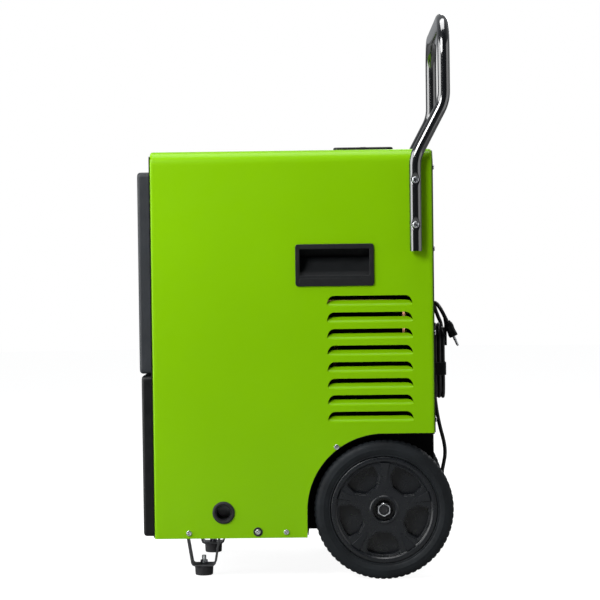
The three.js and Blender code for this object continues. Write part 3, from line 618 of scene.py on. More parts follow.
def make_plug():
    """A moulded two-pin plug: finger dips in its sides, a ribbed neck and round pins."""
    origin = Vector((274.6, -132, 457))
    tilt = Matrix.Rotation(-math.atan2(10.3, 23.5), 4, "Y")
    rings = []
    body = [(-4.0, 0.80), (-6.5, 0.93), (-10, 1.0), (-16, 0.92), (-21, 0.93), (-26, 1.0), (-28.6, 1.0),
            (-30, 0.92)]
    for z, size in body:
        waist = 1 - (1 - size) * 0.6
        loop = rectangle(-8 * size, 8 * size, -16 * waist, 16 * waist, 7.0 * size, 5)
        rings.append([(a, b, z) for a, b in loop])
    plug = loft(rings)
    neck = [(0.01, -6), (8, -6), (7.4, -4.6), (6.2, -4.4), (6.2, -3.6), (7, -3.4), (6.4, -2.2), (5.5, -2.0),
            (5.5, -1.2), (6.0, -1.0), (5.2, 0), (3.9, 0.2), (0.01, 0.2)]
    merge(plug, lathe(neck, 20))
    pins = bmesh.new()
    for y in (-9.5, 9.5):
        pin = [(0.01, -29), (2.4, -29), (2.4, -38), (2.0, -38.4), (2.0, -47.6), (1.2, -48.8), (0.01, -49)]
        merge(pins, place(lathe(pin, 16), lambda a, b, h, y=y: (a, b + y, h)))
    for bm in (plug, pins):
        bmesh.ops.transform(bm, matrix=Matrix.Translation(origin) @ tilt, verts=bm.verts)
    piece = add_piece("plug_moulding", plug, BLACK_PLASTIC, replaces=("mains_plug",))
    prongs = add_piece("plug_pins", pins, ZINC)
    return piece, prongs


lead, lead_length = make_lead()
tie = make_tie()
plug, plug_pins = make_plug()

# ---------------------------------------------------------------- casing

CASING = extent("casing_cover")
SHEET = 1.2
TOP_RADIUS = 22.0
FOLD_RADIUS = 4.0
FOLD_DEPTH = 14.0
ARCH_RADIUS = 137.0
WHEEL_X, WHEEL_Z = 154.0, 125.0
SIDE_RUN = CASING[5] - TOP_RADIUS - CASING[4]
BEND_RUN = TOP_RADIUS * math.pi / 2
TOP_RUN = CASING[3] - CASING[2] - 2 * TOP_RADIUS
PATTERN_WIDTH = 2 * (SIDE_RUN + BEND_RUN) + TOP_RUN
FOLD_RUN = FOLD_RADIUS * math.pi / 2
LOUVRES = [508 - 29.5 * i for i in range(8)]
LOUVRE_X = 132.5
LOUVRE_HALF = 76.0
LOUVRE_END = 12.5
LOUVRE_TIP = 15.5
LOUVRE_FOOT, LOUVRE_BELLY = 16.0, 2.6
SCOOP_STEPS, SCOOP_DEPTH, SCOOP_RISE = 9, 9.5, 7.4
ARCH_STEPS = 24
SPLIT_MARGIN = 3
DRAIN = (-132.5, 123.6)
POCKET = (71.0, 563.0)


def casing_point(v, u, w):
    """Bends the flat pattern: u runs up one side, over the top and down the other side, v runs
    from front to rear with a folded edge at each end, and w is the depth below the face."""
    x0, x1, _, y1, z0, z1 = CASING
    front, rear = x0 + FOLD_RADIUS, x1 - FOLD_RADIUS
    beyond = front - v if v < front else max(0.0, v - rear)
    if beyond == 0:
        x, depth = v, w
    else:
        angle = min(beyond / FOLD_RADIUS, math.pi / 2)
        reach = (FOLD_RADIUS - w) * math.sin(angle)
        x = front - reach if v < front else rear + reach
        depth = FOLD_RADIUS - (FOLD_RADIUS - w) * math.cos(angle) + max(0.0, beyond - FOLD_RUN)
    side = -1
    if u > PATTERN_WIDTH / 2:
        u = PATTERN_WIDTH - u
        side = 1
    if u < SIDE_RUN:
        y, z = y1 - depth, z0 + u
    elif u < SIDE_RUN + BEND_RUN:
        angle = (u - SIDE_RUN) / TOP_RADIUS
        y = y1 - TOP_RADIUS + (TOP_RADIUS - depth) * math.cos(angle)
        z = z1 - TOP_RADIUS + (TOP_RADIUS - depth) * math.sin(angle)
    else:
        y, z = y1 - TOP_RADIUS - (u - SIDE_RUN - BEND_RUN), z1 - depth
    return x, side * y, z


def on_side(loop, side):
    """A loop drawn on a side as (x, z), in the flat pattern's coordinates."""
    if side < 0:
        return [(x, z - CASING[4]) for x, z in loop]
    return [(x, PATTERN_WIDTH - (z - CASING[4])) for x, z in loop]


def louvre_ends(x):
    """How far a louvre is open at x, from 1 in its straight part down to 0 at its tips."""
    beyond = max(0.0, abs(x - LOUVRE_X) - (LOUVRE_HALF - LOUVRE_END)) / LOUVRE_END
    return math.sqrt(max(0.0, 1 - beyond * beyond))


def louvre_columns():
    """Places along a louvre, closer together where its ends curve."""
    straight = LOUVRE_HALF - LOUVRE_END
    right = [straight * k / 6 for k in range(7)]
    right += [straight + LOUVRE_END * math.sin(math.pi / 2 * k / 9) for k in range(1, 10)]
    return [LOUVRE_X - v for v in reversed(right[1:])] + [LOUVRE_X + v for v in right]


def louvre_floor(x, top):
    """Where the pressed sheet leaves the panel, below the opening."""
    return top - LOUVRE_FOOT - LOUVRE_BELLY * louvre_ends(x)


def louvre_hole(top):
    columns = louvre_columns()
    low = [(x, louvre_floor(x, top)) for x in columns]
    high = [(x, top - LOUVRE_TIP + LOUVRE_TIP * louvre_ends(x)) for x in reversed(columns)]
    return low + high


def louvre_scoop(top, side):
    """The sheet pressed in below a louvre's opening: it leaves the panel smoothly and ends in a
    free lip that runs parallel to the opening's top edge."""
    face = CASING[3]
    rows = []
    for k in range(-1, SCOOP_STEPS + 1):
        row = []
        for x in louvre_columns():
            open_share = louvre_ends(x)
            floor = louvre_floor(x, top)
            lip = top - 15.6 + SCOOP_RISE * open_share
            t = max(0, k) / SCOOP_STEPS
            z = floor - 1.0 if k < 0 else floor + (lip - floor) * t
            depth = -0.05 if k <= 0 else SCOOP_DEPTH * open_share * t ** 1.3 - 0.05 * (1 - t)
            row.append((x, side * (face - depth), z))
        rows.append(row)
    bm = grid(rows)
    edge = [[p, (p[0], p[1] - side * SHEET, p[2] - 0.4)] for p in rows[-1]]
    return merge(bm, grid(edge))


def casing_outline():
    arch = [(WHEEL_X - ARCH_RADIUS, CASING[4]), (WHEEL_X - ARCH_RADIUS, WHEEL_Z)]
    for k in range(1, ARCH_STEPS + 1):
        angle = math.pi - math.pi / 2 * k / ARCH_STEPS
        arch.append((WHEEL_X + ARCH_RADIUS * math.cos(angle), WHEEL_Z + ARCH_RADIUS * math.sin(angle)))
    reach = FOLD_RUN + FOLD_DEPTH - FOLD_RADIUS
    front, rear = CASING[0] + FOLD_RADIUS - reach, CASING[1] - FOLD_RADIUS + reach
    lower_edge = arch + [(rear, WHEEL_Z + ARCH_RADIUS)]
    left, right = on_side(lower_edge, -1), on_side(lower_edge, 1)
    return [(front, 0)] + left + right[::-1] + [(front, PATTERN_WIDTH)]


def casing_holes():
    """The grip cut-outs, louvres, drain hole and control panel cut-out, in the flat pattern."""
    holes = []
    px, pz = POCKET
    for side in SIDES.values():
        holes.append(on_side(rectangle(px - 67, px + 67, pz - 35, pz + 36, 1), side))
        holes += [on_side(louvre_hole(top), side) for top in LOUVRES]
    holes.append(on_side(circle(17, 32, DRAIN), -1))
    x0, x1, y0, y1, _, _ = extent("control_panel")
    middle = PATTERN_WIDTH / 2
    holes.append(rectangle(x0 + 7, x1 - 7, middle + y0 + 8, middle + y1 - 8, 3))
    return holes


def split_for_bends(bm):
    """Cuts the flat pattern across wherever it will bend."""
    front, rear = CASING[0] + FOLD_RADIUS, CASING[1] - FOLD_RADIUS
    cuts = []
    for k in range(5):
        step = FOLD_RUN * k / 4
        cuts += [(0, front - step), (0, rear + step)]
    for k in range(11):
        step = BEND_RUN * k / 10
        cuts += [(1, SIDE_RUN + step), (1, PATTERN_WIDTH - SIDE_RUN - step)]
    cuts += [(1, SIDE_RUN - 4), (1, PATTERN_WIDTH - SIDE_RUN + 4)]
    cuts += [(0, front + SPLIT_MARGIN), (0, rear - SPLIT_MARGIN)]
    for axis, at in cuts:
        point, normal = Vector((0, 0, 0)), Vector((0, 0, 0))
        point[axis], normal[axis] = at, 1
        geometry = bm.verts[:] + bm.edges[:] + bm.faces[:]
        bmesh.ops.bisect_plane(bm, geom=geometry, plane_co=point, plane_no=normal)


def make_casing():
    bm = plate([casing_outline()] + casing_holes(), SHEET, bevel=0.25, resolution=1)
    split_for_bends(bm)
    place(bm, casing_point)
    bmesh.ops.recalc_face_normals(bm, faces=bm.faces)
    for side in SIDES.values():
        outward = Vector((0, side, 0))
        for top in LOUVRES:
            scoop = louvre_scoop(top, side)
            bmesh.ops.recalc_face_normals(scoop, faces=scoop.faces)
            flipped = [f for f in scoop.faces if f.normal.dot(outward) < 0]
            bmesh.ops.reverse_faces(scoop, faces=flipped)
            merge(bm, scoop)
    add_piece("casing_sheet", bm, GREEN, replaces=("casing_cover",), recalculate=False)


make_casing()

# ---------------------------------------------------------------- side fittings


def pan_head(radius, height, recess):
    """A domed screw head with a cross recess, as (a, b, height above its seat)."""
    arm, slot = radius * 0.58, radius * 0.17
    cross = [(slot, slot), (slot, arm), (-slot, arm), (-slot, slot), (-arm, slot), (-arm, -slot),
             (-slot, -slot), (-slot, -arm), (slot, -arm), (slot, -slot), (arm, -slot), (arm, slot)]
    top = plate([circle(radius, 28), cross], height, bevel=height * 0.35, resolution=2)

    def crown(a, b, c):
        return a, b, (height - c) + 0.12 * radius * (1 - (a * a + b * b) / radius ** 2) * (1 - c / height)

    place(top, crown)
    floor = loft([[(a, b, recess) for a, b in circle(arm * 1.1, 12)]], True, False)
    return merge(top, floor)


def facing(bm, origin, side):
    """Turns a part drawn on (a, b) with its height outwards onto the side at origin."""
    x, y, z = origin
    return place(bm, lambda a, b, h: (x + a * -side, y + side * h, z + b))


def turned_about(bm, angle):
    c, s = math.cos(angle), math.sin(angle)
    return place(bm, lambda a, b, h: (a * c - b * s, a * s + b * c, h))


def make_side_screws():
    """Pan heads along the casing's lower edge and by the wheel arch. One has a black washer."""
    spots = [(-194.5, 87.4), (-71.4, 88.7), (-20.7, 88.0), (70.6, 238.8)]
    screws, washers = bmesh.new(), bmesh.new()
    for side in SIDES.values():
        for x, z in spots:
            washered = x == spots[1][0]
            seat = CASING[3] + (1.2 if washered else 0)
            head = turned_about(pan_head(4.8, 2.4, 0.9), random.uniform(0, 1.5))
            merge(screws, facing(head, (x, side * seat, z), side))
            if washered:
                ring = lathe([(4.0, 0), (8.2, 0), (8.2, 0.8), (7.6, 1.3), (4.0, 1.3)], 28)
                merge(washers, facing(ring, (x, side * CASING[3], z), side))
    add_piece("side_screws", screws, ZINC)
    add_piece("side_screw_washers", washers, RUBBER)


def make_pocket_handle(word, side):
    """A moulded lifting grip: a raised frame round a pocket whose floor slopes up and back."""
    x0, x1, y0, y1, z0, z1 = extent(f"pocket_handle_{word}")
    face = max(abs(y0), abs(y1))
    low, high = z0 + 19, z1 - 9
    left, right = x0 + 7.75, x1 - 7.75
    frame_loop = rectangle(x0, x1, z0, z1, 6, 6)
    mouth = rectangle(left, right, low, high, 1.2, 3)
    rim = plate([frame_loop, mouth], 3.2, bevel=1.1, resolution=3)
    place(rim, lambda a, b, c: (a, side * (face - c), b))
    inside = [(1.5, low), (3, low), (12, low + 7), (30, low + 31), (33, low + 33), (44, low + 33),
              (44, z1 - 5), (3.5, z1 - 5), (3, high + 1), (1.5, high)]
    columns = [left, left + 1.5, right - 1.5, right]
    rows = []
    for depth, z in inside:
        rows.append([(x, side * (face - 1.5 - depth), z) for x in columns])
    pocket = grid(rows)
    for x in (left, right):
        wall = [(x, side * (face - 1.5 - depth), z) for depth, z in inside]
        cap = bmesh.new()
        cap.faces.new([cap.verts.new(p) for p in wall])
        merge(pocket, cap)
    pad = plate([rectangle(x0 + 7, x1 - 7, z0 + 5, z0 + 14, 2, 3)], 1.4, bevel=0.5, resolution=2)
    place(pad, lambda a, b, c: (a, side * (face + 0.4 - c), b))
    merge(pocket, rim, pad)
    add_piece(f"pocket_grip_{word}", pocket, POCKET_PLASTIC,
              replaces=(f"pocket_handle_{word}",), smooth=30)


def make_drain_grommet():
    ring = lathe([(14.5, -5), (14.5, 2.0), (15.2, 3.0), (16.6, 3.4), (18.2, 3.2), (19.4, 2.3), (20, 0.9),
                  (20, 0), (16.6, 0), (16.6, -1.5), (19, -1.5), (19, -4), (17, -5)], 48)
    _, _, y0, _, _, _ = extent("drain_grommet")
    facing(ring, (DRAIN[0], y0 + 3.5, DRAIN[1]), -1)
    tube = lathe([(14.2, 1), (14.2, -60), (13, -60), (13, 1)], 32)
    facing(tube, (DRAIN[0], y0 + 3.5, DRAIN[1]), -1)
    add_piece("drain_ring", merge(ring, tube), RUBBER, replaces=("drain_grommet",))


make_side_screws()
for word, side in SIDES.items():
    make_pocket_handle(word, side)
make_drain_grommet()

# ---------------------------------------------------------------- push handle

TUBE = 11.0
LEG_X, LEG_Y = 215.5, 251.5
GRIP_X = 268.0
GRIP_Z = 1001.0
SCREW_Z = (632.6, 711.7)
DIMPLE_HALF = 15.5
DIMPLE_WIDTH = 8.2


def bend_through(corners):
    """Straight runs joined by bends. Each corner is (x, y, z, length trimmed for its bend)."""
    points = [Vector(corners[0][:3])]
    for i in range(1, len(corners) - 1):
        here = Vector(corners[i][:3])
        trim = corners[i][3]
        before = here + (Vector(corners[i - 1][:3]) - here).normalized() * trim
        after = here + (Vector(corners[i + 1][:3]) - here).normalized() * trim
        steps = 10 if trim < 40 else 24
        for k in range(steps + 1):
            t = k / steps
            points.append(before * (1 - t) ** 2 + here * 2 * t * (1 - t) + after * t * t)
    return points + [Vector(corners[-1][:3])]


def handle_path():
    path = bend_through([
        (LEG_X, -LEG_Y, 586), (LEG_X, -LEG_Y, 752, 18), (GRIP_X, -LEG_Y, 851, 18),
        (GRIP_X, -LEG_Y, GRIP_Z, 72), (GRIP_X, LEG_Y, GRIP_Z, 72), (GRIP_X, LEG_Y, 851, 18),
        (LEG_X, LEG_Y, 752, 18), (LEG_X, LEG_Y, 586),
    ])
    dense = [path[0]]
    for here, there in zip(path, path[1:]):
        on_leg = here.z < 740 and there.z < 740
        pieces = max(1, round((there - here).length / (1.1 if on_leg else 16)))
        dense += [here.lerp(there, k / pieces) for k in range(1, pieces + 1)]
    return dense


def dimpled(x, y, z):
    """Presses the tube in round each screw, leaving an eye-shaped flat with its points up and
    down."""
    out = abs(y) - LEG_Y
    if z > 740 or out < 0:
        return x, y, z
    for screw in SCREW_Z:
        along = abs(z - screw) / DIMPLE_HALF
        if along < 1:
            half_width = DIMPLE_WIDTH * (1 - along ** 1.5)
            limit = math.sqrt(TUBE ** 2 - half_width ** 2)
            if out > limit:
                out = limit + 0.04 * (out - limit)
    return x, math.copysign(LEG_Y + out, y), z


def make_push_handle():
    path = handle_path()
    bm = place(sweep(path, TUBE, 56), dimpled)
    for end in (path[0], path[-1]):
        lip = lathe([(10.95, 0), (9.6, 0), (9.6, 14), (0.01, 14), (0.01, 15), (10.95, 15)], 56, closed=False)
        merge(bm, place(lip, lambda a, b, h, e=end: (e.x + a, e.y + b, e.z + h)))
    add_piece("handle_tube", bm, HANDLE_BLACK, replaces=("push_handle",), smooth=24)
    screws = bmesh.new()
    names = []
    for word, side in SIDES.items():
        for level, z in (("lower", SCREW_Z[0]), ("upper", SCREW_Z[1])):
            names.append(f"handle_screw_{level}_{word}")
            head = turned_about(pan_head(6.0, 3.4, 1.2), random.uniform(0.2, 1.2))
            merge(screws, facing(head, (LEG_X, side * (LEG_Y + 7.4), z), side))
    add_piece("handle_screws", screws, ZINC, replaces=names)


make_push_handle()

# ---------------------------------------------------------------- wheels

RIM_RADIUS = 95.0
WHEEL_WIDTH = 60.0
LUGS = 68
SPOKE_TURN = math.radians(-1.8)


def on_axle(bm, side):
    """Places a wheel part drawn with its height inwards from the wheel's outer face."""
    return place(bm, lambda a, b, h: (WHEEL_X - side * a, side * (240 - h), WHEEL_Z + b))


def tread(angle, r, h):
    """Cuts shallow grooves across the tread, kinked in the middle."""
    shoulder = min(1.0, max(0.0, (r - 121.0) / 3.5))
    if shoulder == 0:
        return r
    skew = 0.35 * abs(h - WHEEL_WIDTH / 2) / (WHEEL_WIDTH / 2)
    phase = (angle * LUGS / (2 * math.pi) + skew) % 1
    groove = max(0.0, 1 - abs(phase - 0.5) / 0.25)
    return r - 1.4 * shoulder * min(1.0, groove * 1.5)


def make_tyre(word, side):
    w = WHEEL_WIDTH
    half = [(RIM_RADIUS, 8), (95.4, 4.6), (97.2, 3.2), (99, 3.4), (100, 2.4), (103, 1.2), (107, 0.5),
            (107.6, 0.0), (109, 0.0), (109.6, 0.5), (113, 0.6), (116, 1.3), (119, 2.6), (121.5, 4.6),
            (123.4, 7.4), (124.6, 11), (125, 16), (125, 22), (123.4, 23.5), (123.4, 25.5), (125, 27)]
    profile = half + [(r, w - h) for r, h in reversed(half)]
    tyre = lathe(profile, LUGS * 6, True, tread)
    add_piece(f"tyre_moulded_{word}", on_axle(tyre, side), TYRE, f"wheel_{word}",
              (f"tyre_{word}",), smooth=40)


def wheel_pocket(index, grow):
    """A pocket between two spokes, drawn about the hub. One spoke points straight up."""
    half = [(41, -12), (55, -26.5), (74.5, -29.5), (79.5, -16)]
    shape = half + [(81.6, 0)] + [(r, -t) for r, t in reversed(half)]
    turn = math.pi / 2 + SPOKE_TURN + (index + 0.5) / 5 * 2 * math.pi
    c, s = math.cos(turn), math.sin(turn)
    grown = []
    for r, t in shape:
        away = Vector((r - 62, t)).normalized() * grow
        grown.append((r + away.x, t + away.y))
    loop = rounded(grown, 3.0, 4)
    return [(r * c - t * s, r * s + t * c) for r, t in loop]


def make_rim(word, side):
    outer = RIM_RADIUS - 0.3
    pieces = []
    ring = [(outer, 3.6), (94.2, 2.9), (93.2, 2.4), (88.4, 2.4), (87.4, 2.7), (85.2, 5.0), (84.2, 5.6),
            (83.4, 7), (83.4, 54), (88, 54), (88, 54.4), (outer, 54.4)]
    pieces.append(lathe(ring, 96))
    face = [circle(83.8, 96), circle(20.8, 40)] + [wheel_pocket(i, 1.8) for i in range(5)]
    deep = [circle(83.8, 96), circle(20.6, 40)] + [wheel_pocket(i, -0.6) for i in range(5)]
    upper = plate(face, 3.0, bevel=0.9, resolution=2)
    lower = plate(deep, 19.0, bevel=0.9, resolution=2)
    pieces.append(place(upper, lambda a, b, c: (a, b, 5.0 + c)))
    pieces.append(place(lower, lambda a, b, c: (a, b, 6.6 + c)))
    pieces.append(lathe([(20.6, 25), (84, 25), (84, 28), (20.6, 28)], 60))
    hub = [(20.9, 24), (20.9, 4.4), (21.6, 3.7), (24.4, 3.7), (26.4, 5.4), (26.4, 6.2), (23, 8), (23, 24)]
    pieces.append(lathe(hub, 60))
    pieces.append(lathe([(12.3, 20), (21, 20), (21, 24), (12.3, 24)], 40))
    pieces.append(lathe([(12.3, 24), (26, 24), (26, 56), (12.3, 56)], 40))
    for i in range(5):
        pieces.append(spoke_foot(i))
    rim = merge(bmesh.new(), *pieces)
    add_piece(f"wheel_disc_{word}", on_axle(rim, side), RIM_PLASTIC, f"wheel_{word}",
              (f"wheel_rim_{word}",), smooth=28)


def spoke_foot(index):
    """The raised pad where a spoke meets the rim."""
    turn = math.pi / 2 + SPOKE_TURN + index / 5 * 2 * math.pi
    c, s = math.cos(turn), math.sin(turn)
    rings = []
    for r, half, height in ((50, 3.0, 4.9), (58, 5.5, 4.3), (70, 7.0, 3.9), (79, 9.0, 3.4), (84, 10.5, 3.2)):
        ring = [(r, -half, 6), (r, -half * 0.75, height), (r, half * 0.75, height), (r, half, 6)]
        rings.append([(a * c - b * s, a * s + b * c, h) for a, b, h in ring])
    return loft(rings)


def make_nut(word, side):
    """A lock nut: a chamfered hexagon, its collar, the axle's end and a washer. The collar and the axle's end
    are near-black: painted shade for the hole at the nut's centre.
    """
    corners = circle(13.4, 6, start=math.pi / 2)
    nut = plate([rounded(corners, 1.6, 3), circle(8.6, 32)], 12, bevel=0.9, resolution=2)

    def chamfer(a, b, c):
        lift = max(0.0, math.hypot(a, b) - 11.6) * 0.8 if c < 2 else 0.0
        return a, b, 6.5 + c + lift

    place(nut, chamfer)
    add_piece(f"axle_nut_{word}", on_axle(nut, side), ZINC, replaces=(f"wheel_nut_{word}",))
    # Near-black collar: painted shade for the hole at the nut's centre.
    collar = lathe([(4.6, 4.9), (5.0, 4.6), (7.6, 4.6), (8.3, 5.4), (8.3, 17), (4.6, 17)], 32)
    add_piece(f"axle_end_hole_shade_{word}", on_axle(collar, side), COMPRESSOR)
    # Near-black disc over the axle's end: painted shade for the hole at the nut's centre. The washer merged
    # with it is its own black rubber.
    dark = lathe([(0.01, 4.8), (4.7, 4.8), (4.7, 6.0), (0.01, 6.0)], 24)
    washer = lathe([(8.4, 18.3), (15.2, 18.3), (16, 18.9), (16, 19.7), (8.4, 19.7)], 40)
    merge(dark, washer)
    add_piece(f"nut_washer_and_hole_shade_{word}", on_axle(dark, side), RUBBER)


for word, side in SIDES.items():
    make_tyre(word, side)
    make_rim(word, side)
    make_nut(word, side)

# ---------------------------------------------------------------- feet

FOOT_X, FOOT_Y = -174.0, 150.0
FOOT_HEIGHT = 17.3


def offset_path(points, distance):
    """The path moved sideways, for the other face of a bent strip."""
    result = []
    for i, point in enumerate(points):
        ahead = points[min(i + 1, len(points) - 1)] - points[max(i - 1, 0)]
        normal = Vector((-ahead.y, ahead.x)).normalized()
        result.append(point + normal * distance)
    return result


def make_foot(word, side):
    low, top = FOOT_HEIGHT + 0.3, 81.7
    corners = [(-46, top - 1.5, 0), (-30.4, top - 1.5, 0, 5), (-20.4, low + 1.5, 0, 6),
               (20.4, low + 1.5, 0, 6), (30.4, top - 1.5, 0, 5), (46, top - 1.5, 0)]
    middle = [Vector((p.x, p.y)) for p in bend_through([(*c[:3], *c[3:]) for c in corners])]
    above, below = offset_path(middle, 1.5), offset_path(middle, -1.5)
    section = [(0, -19.4), (0, 19.4), (0.12, 20), (0.88, 20), (1, 19.4), (1, -19.4), (0.88, -20), (0.12, -20)]
    rings = []
    for a, b in zip(above, below):
        ring = []
        for share, y in section:
            point = a.lerp(b, share)
            ring.append((FOOT_X + point.x, side * FOOT_Y + y, point.y))
        rings.append(ring)
    strap = loft(rings)
    add_piece(f"foot_bracket_{word}", strap, STRAP_STEEL, replaces=(f"foot_strap_{word}",))
    profile = [(8.2, 9), (8.2, 0.6), (8.8, 0), (13.8, 0), (15.4, 0.6), (16.1, 1.9), (16.8, 14.6), (17, 16.2),
               (16.7, 17.1), (16, FOOT_HEIGHT), (4.6, FOOT_HEIGHT), (4.6, 9)]
    foot = place(lathe(profile, 44), lambda a, b, h: (FOOT_X + a, side * FOOT_Y + b, h))
    add_piece(f"foot_cone_{word}", foot, FOOT_RUBBER, replaces=(f"rubber_foot_{word}",))


for word, side in SIDES.items():
    make_foot(word, side)

# ---------------------------------------------------------------- front

COVER_EDGE = 6.0


def cover_rings(y, z0, z1, rear, face):
    """A shallow moulded cover's wall, from its open rear edge to the rounded front edge."""
    rings = []
    rounding = [(rear, 0.0)] + [
        (face + COVER_EDGE * (1 - math.sin(a)), COVER_EDGE * (1 - math.cos(a)))
        for a in (math.pi / 2 * k / 6 for k in range(7))
    ]
    for x, inset in rounding:
        radius = 9 - inset * 0.75
        loop = rectangle(inset - y, y - inset, z0 + inset, z1 - inset, radius, 6)
        rings.append([(x, b, c) for b, c in loop])
    return rings


def make_cover(node, holes, name, material, body):
    """A cover with holes through its face, as loops of (y, z)."""
    x0, x1, y0, y1, z0, z1 = extent(node)
    rings = cover_rings(y1, z0, z1, x1, x0)
    shell = loft(rings, False, False)
    level = (z0 + z1) / 2
    inner = [[(x + (3 if k else 0), y * 0.988, (z - level) * 0.98 + level) for x, y, z in ring]
             for k, ring in enumerate(rings[:2])]
    outline = [(y, z) for _, y, z in rings[-1]]
    face = plate([outline] + holes, 3.0)
    place(face, lambda a, b, c: (x0 + c, a, b))
    merge(shell, face, loft(inner, False, False))
    bmesh.ops.remove_doubles(shell, verts=shell.verts, dist=0.02)
    return add_piece(name, shell, material, body, (node,), smooth=30)


def make_grille():
    """Intake cover: two columns of slots, with a sloping vane in each slot."""
    x0 = extent("front_grille")[0]
    columns = [(-204, -5), (5, 204)]
    holes, vanes = [], bmesh.new()
    for i in range(13):
        z = 402 + 23.5 * i
        for y0, y1 in columns:
            holes.append(rectangle(y0, y1, z, z + 13, 5, 5))
            section = [(0.4, 0.6), (1.2, -0.6), (13, 6.6), (13.4, 7.8), (12.6, 8.4)]
            vane = [[(x0 + 2.6 + dx, y, z + dz) for dx, dz in section] for y in (y0 + 0.5, y1 - 0.5)]
            merge(vanes, loft(vane))
    make_cover("front_grille", holes, "intake_cover", CHARCOAL, "root")
    add_piece("intake_vanes", vanes, CHARCOAL)


def make_tank_front():
    """The tank's front, with a finger slot and a scoop behind it."""
    x0 = extent("tank_front")[0]
    slot = rectangle(-70, 70, 330, 356, 8, 8)
    make_cover("tank_front", [slot], "tank_door", BLACK_PLASTIC, "tank")
    profile = [(1.5, 356), (14, 352), (15.5, 342), (14, 333), (1.5, 330)]
    rows = [[(x0 + 1.5 + dx, y, z) for dx, z in profile] for y in (-70, -66, 66, 70)]
    scoop = grid(rows)
    for row in (rows[0], rows[-1]):
        cap = bmesh.new()
        cap.faces.new([cap.verts.new(p) for p in row])
        merge(scoop, cap)
    add_piece("tank_door_scoop", scoop, BLACK_PLASTIC, "tank")


make_grille()
make_tank_front()

# ---------------------------------------------------------------- control panel


def make_control_panel():
    x0, x1, y0, y1, z0, z1 = extent("control_panel")
    window = rectangle(x0 + 26, x1 - 26, -34, 34, 2, 3)
    button_y = [(extent(n)[2] + extent(n)[3]) / 2 for n in BUTTONS]
    button_x = (x0 + x1) / 2
    holes = [window] + [circle(7, 32, (button_x, y)) for y in button_y]
    rings = []
    for z, inset in ((z0, 0), (z1 - 3.0, 0), (z1 - 1.5, 0.4), (z1 - 0.5, 1.3), (z1, 2.8)):
        loop = rectangle(x0 + inset, x1 - inset, y0 + inset, y1 - inset, 10 - inset, 6)
        rings.append([(a, b, z) for a, b in loop])
    wall = loft(rings, False, False)
    outline = [(a, b) for a, b, _ in rings[-1]]
    top = place(plate([outline] + holes, 2.2), lambda a, b, c: (a, b, z1 - c))
    merge(wall, top)
    bmesh.ops.remove_doubles(wall, verts=wall.verts, dist=0.02)
    add_piece("control_bezel", wall, BLACK_PLASTIC, replaces=("control_panel",), smooth=30)
    x0, x1, y0, y1, z0, z1 = extent("display_lens")
    glass = plate([rectangle(x0, x1, y0, y1, 1.8, 3)], 2.2, bevel=0.3)
    place(glass, lambda a, b, c: (a, b, z1 - c))
    add_piece("display_glass", glass, LENS, replaces=("display_lens",))


def make_button(node, body):
    """A round key with a dished top."""
    x0, x1, y0, y1, z0, z1 = extent(node)
    profile = [(0.01, z1 - 0.7), (2.5, z1 - 0.6), (4.6, z1 - 0.25), (5.6, z1), (6.2, z1 - 0.2),
               (6.6, z1 - 0.9), (6.6, z0 + 1), (8, z0 + 1), (8, z0), (0.01, z0)]
    key = lathe(profile, 32)
    middle = ((x0 + x1) / 2, (y0 + y1) / 2)
    place(key, lambda a, b, h: (middle[0] + a, middle[1] + b, h))
    add_piece(f"key_{body}", key, BUTTON, body, (node,))


BUTTONS = {
    "button_power": "power_button", "button_mode": "mode_button",
    "button_down": "down_button", "button_up": "up_button",
}
make_control_panel()
for node, body in BUTTONS.items():
    make_button(node, body)

# ---------------------------------------------------------------- back


def make_back_panel():
    x0, x1, y0, y1, z0, z1 = extent("back_panel")
    step, narrow = 262.3, 149.7
    outline = [(-narrow, z0), (narrow, z0), (narrow, step), (y1, step), (y1, z1 - 21), (y1 - 20, z1),
               (20 - y1, z1), (-y1, z1 - 21), (-y1, step), (-narrow, step)]
    panel = plate([rounded(outline, 3, 3)], x1 - x0, bevel=0.3)
    place(panel, lambda a, b, c: (x1 - c, a, b))
    half, width = 190, 4
    for low, high in ((300, 390), (560, 720)):
        outer = rectangle(-half, half, low, high, 14, 5)
        inner = rectangle(width - half, half - width, low + width, high - width, 11, 5)
        bead = plate([outer, inner], 1.4, bevel=0.6, resolution=2)
        merge(panel, place(bead, lambda a, b, c: (x1 + 0.8 - c, a, b)))
    add_piece("rear_panel", panel, BLACK_PAINT, replaces=("back_panel",))
    screws = bmesh.new()
    spots = [(s * 226, z) for s in (-1, 1) for z in (285, 440, 590, 735)]
    spots += [(s * 136, 96) for s in (-1, 1)] + [(s * 110, 752) for s in (-1, 1)]
    for y, z in spots:
        head = turned_about(pan_head(4.5, 2.2, 0.8), random.uniform(0, 1.5))
        merge(screws, place(head, lambda a, b, h, y=y, z=z: (x1 + h, y + a, z + b)))
    add_piece("rear_screws", screws, ZINC)


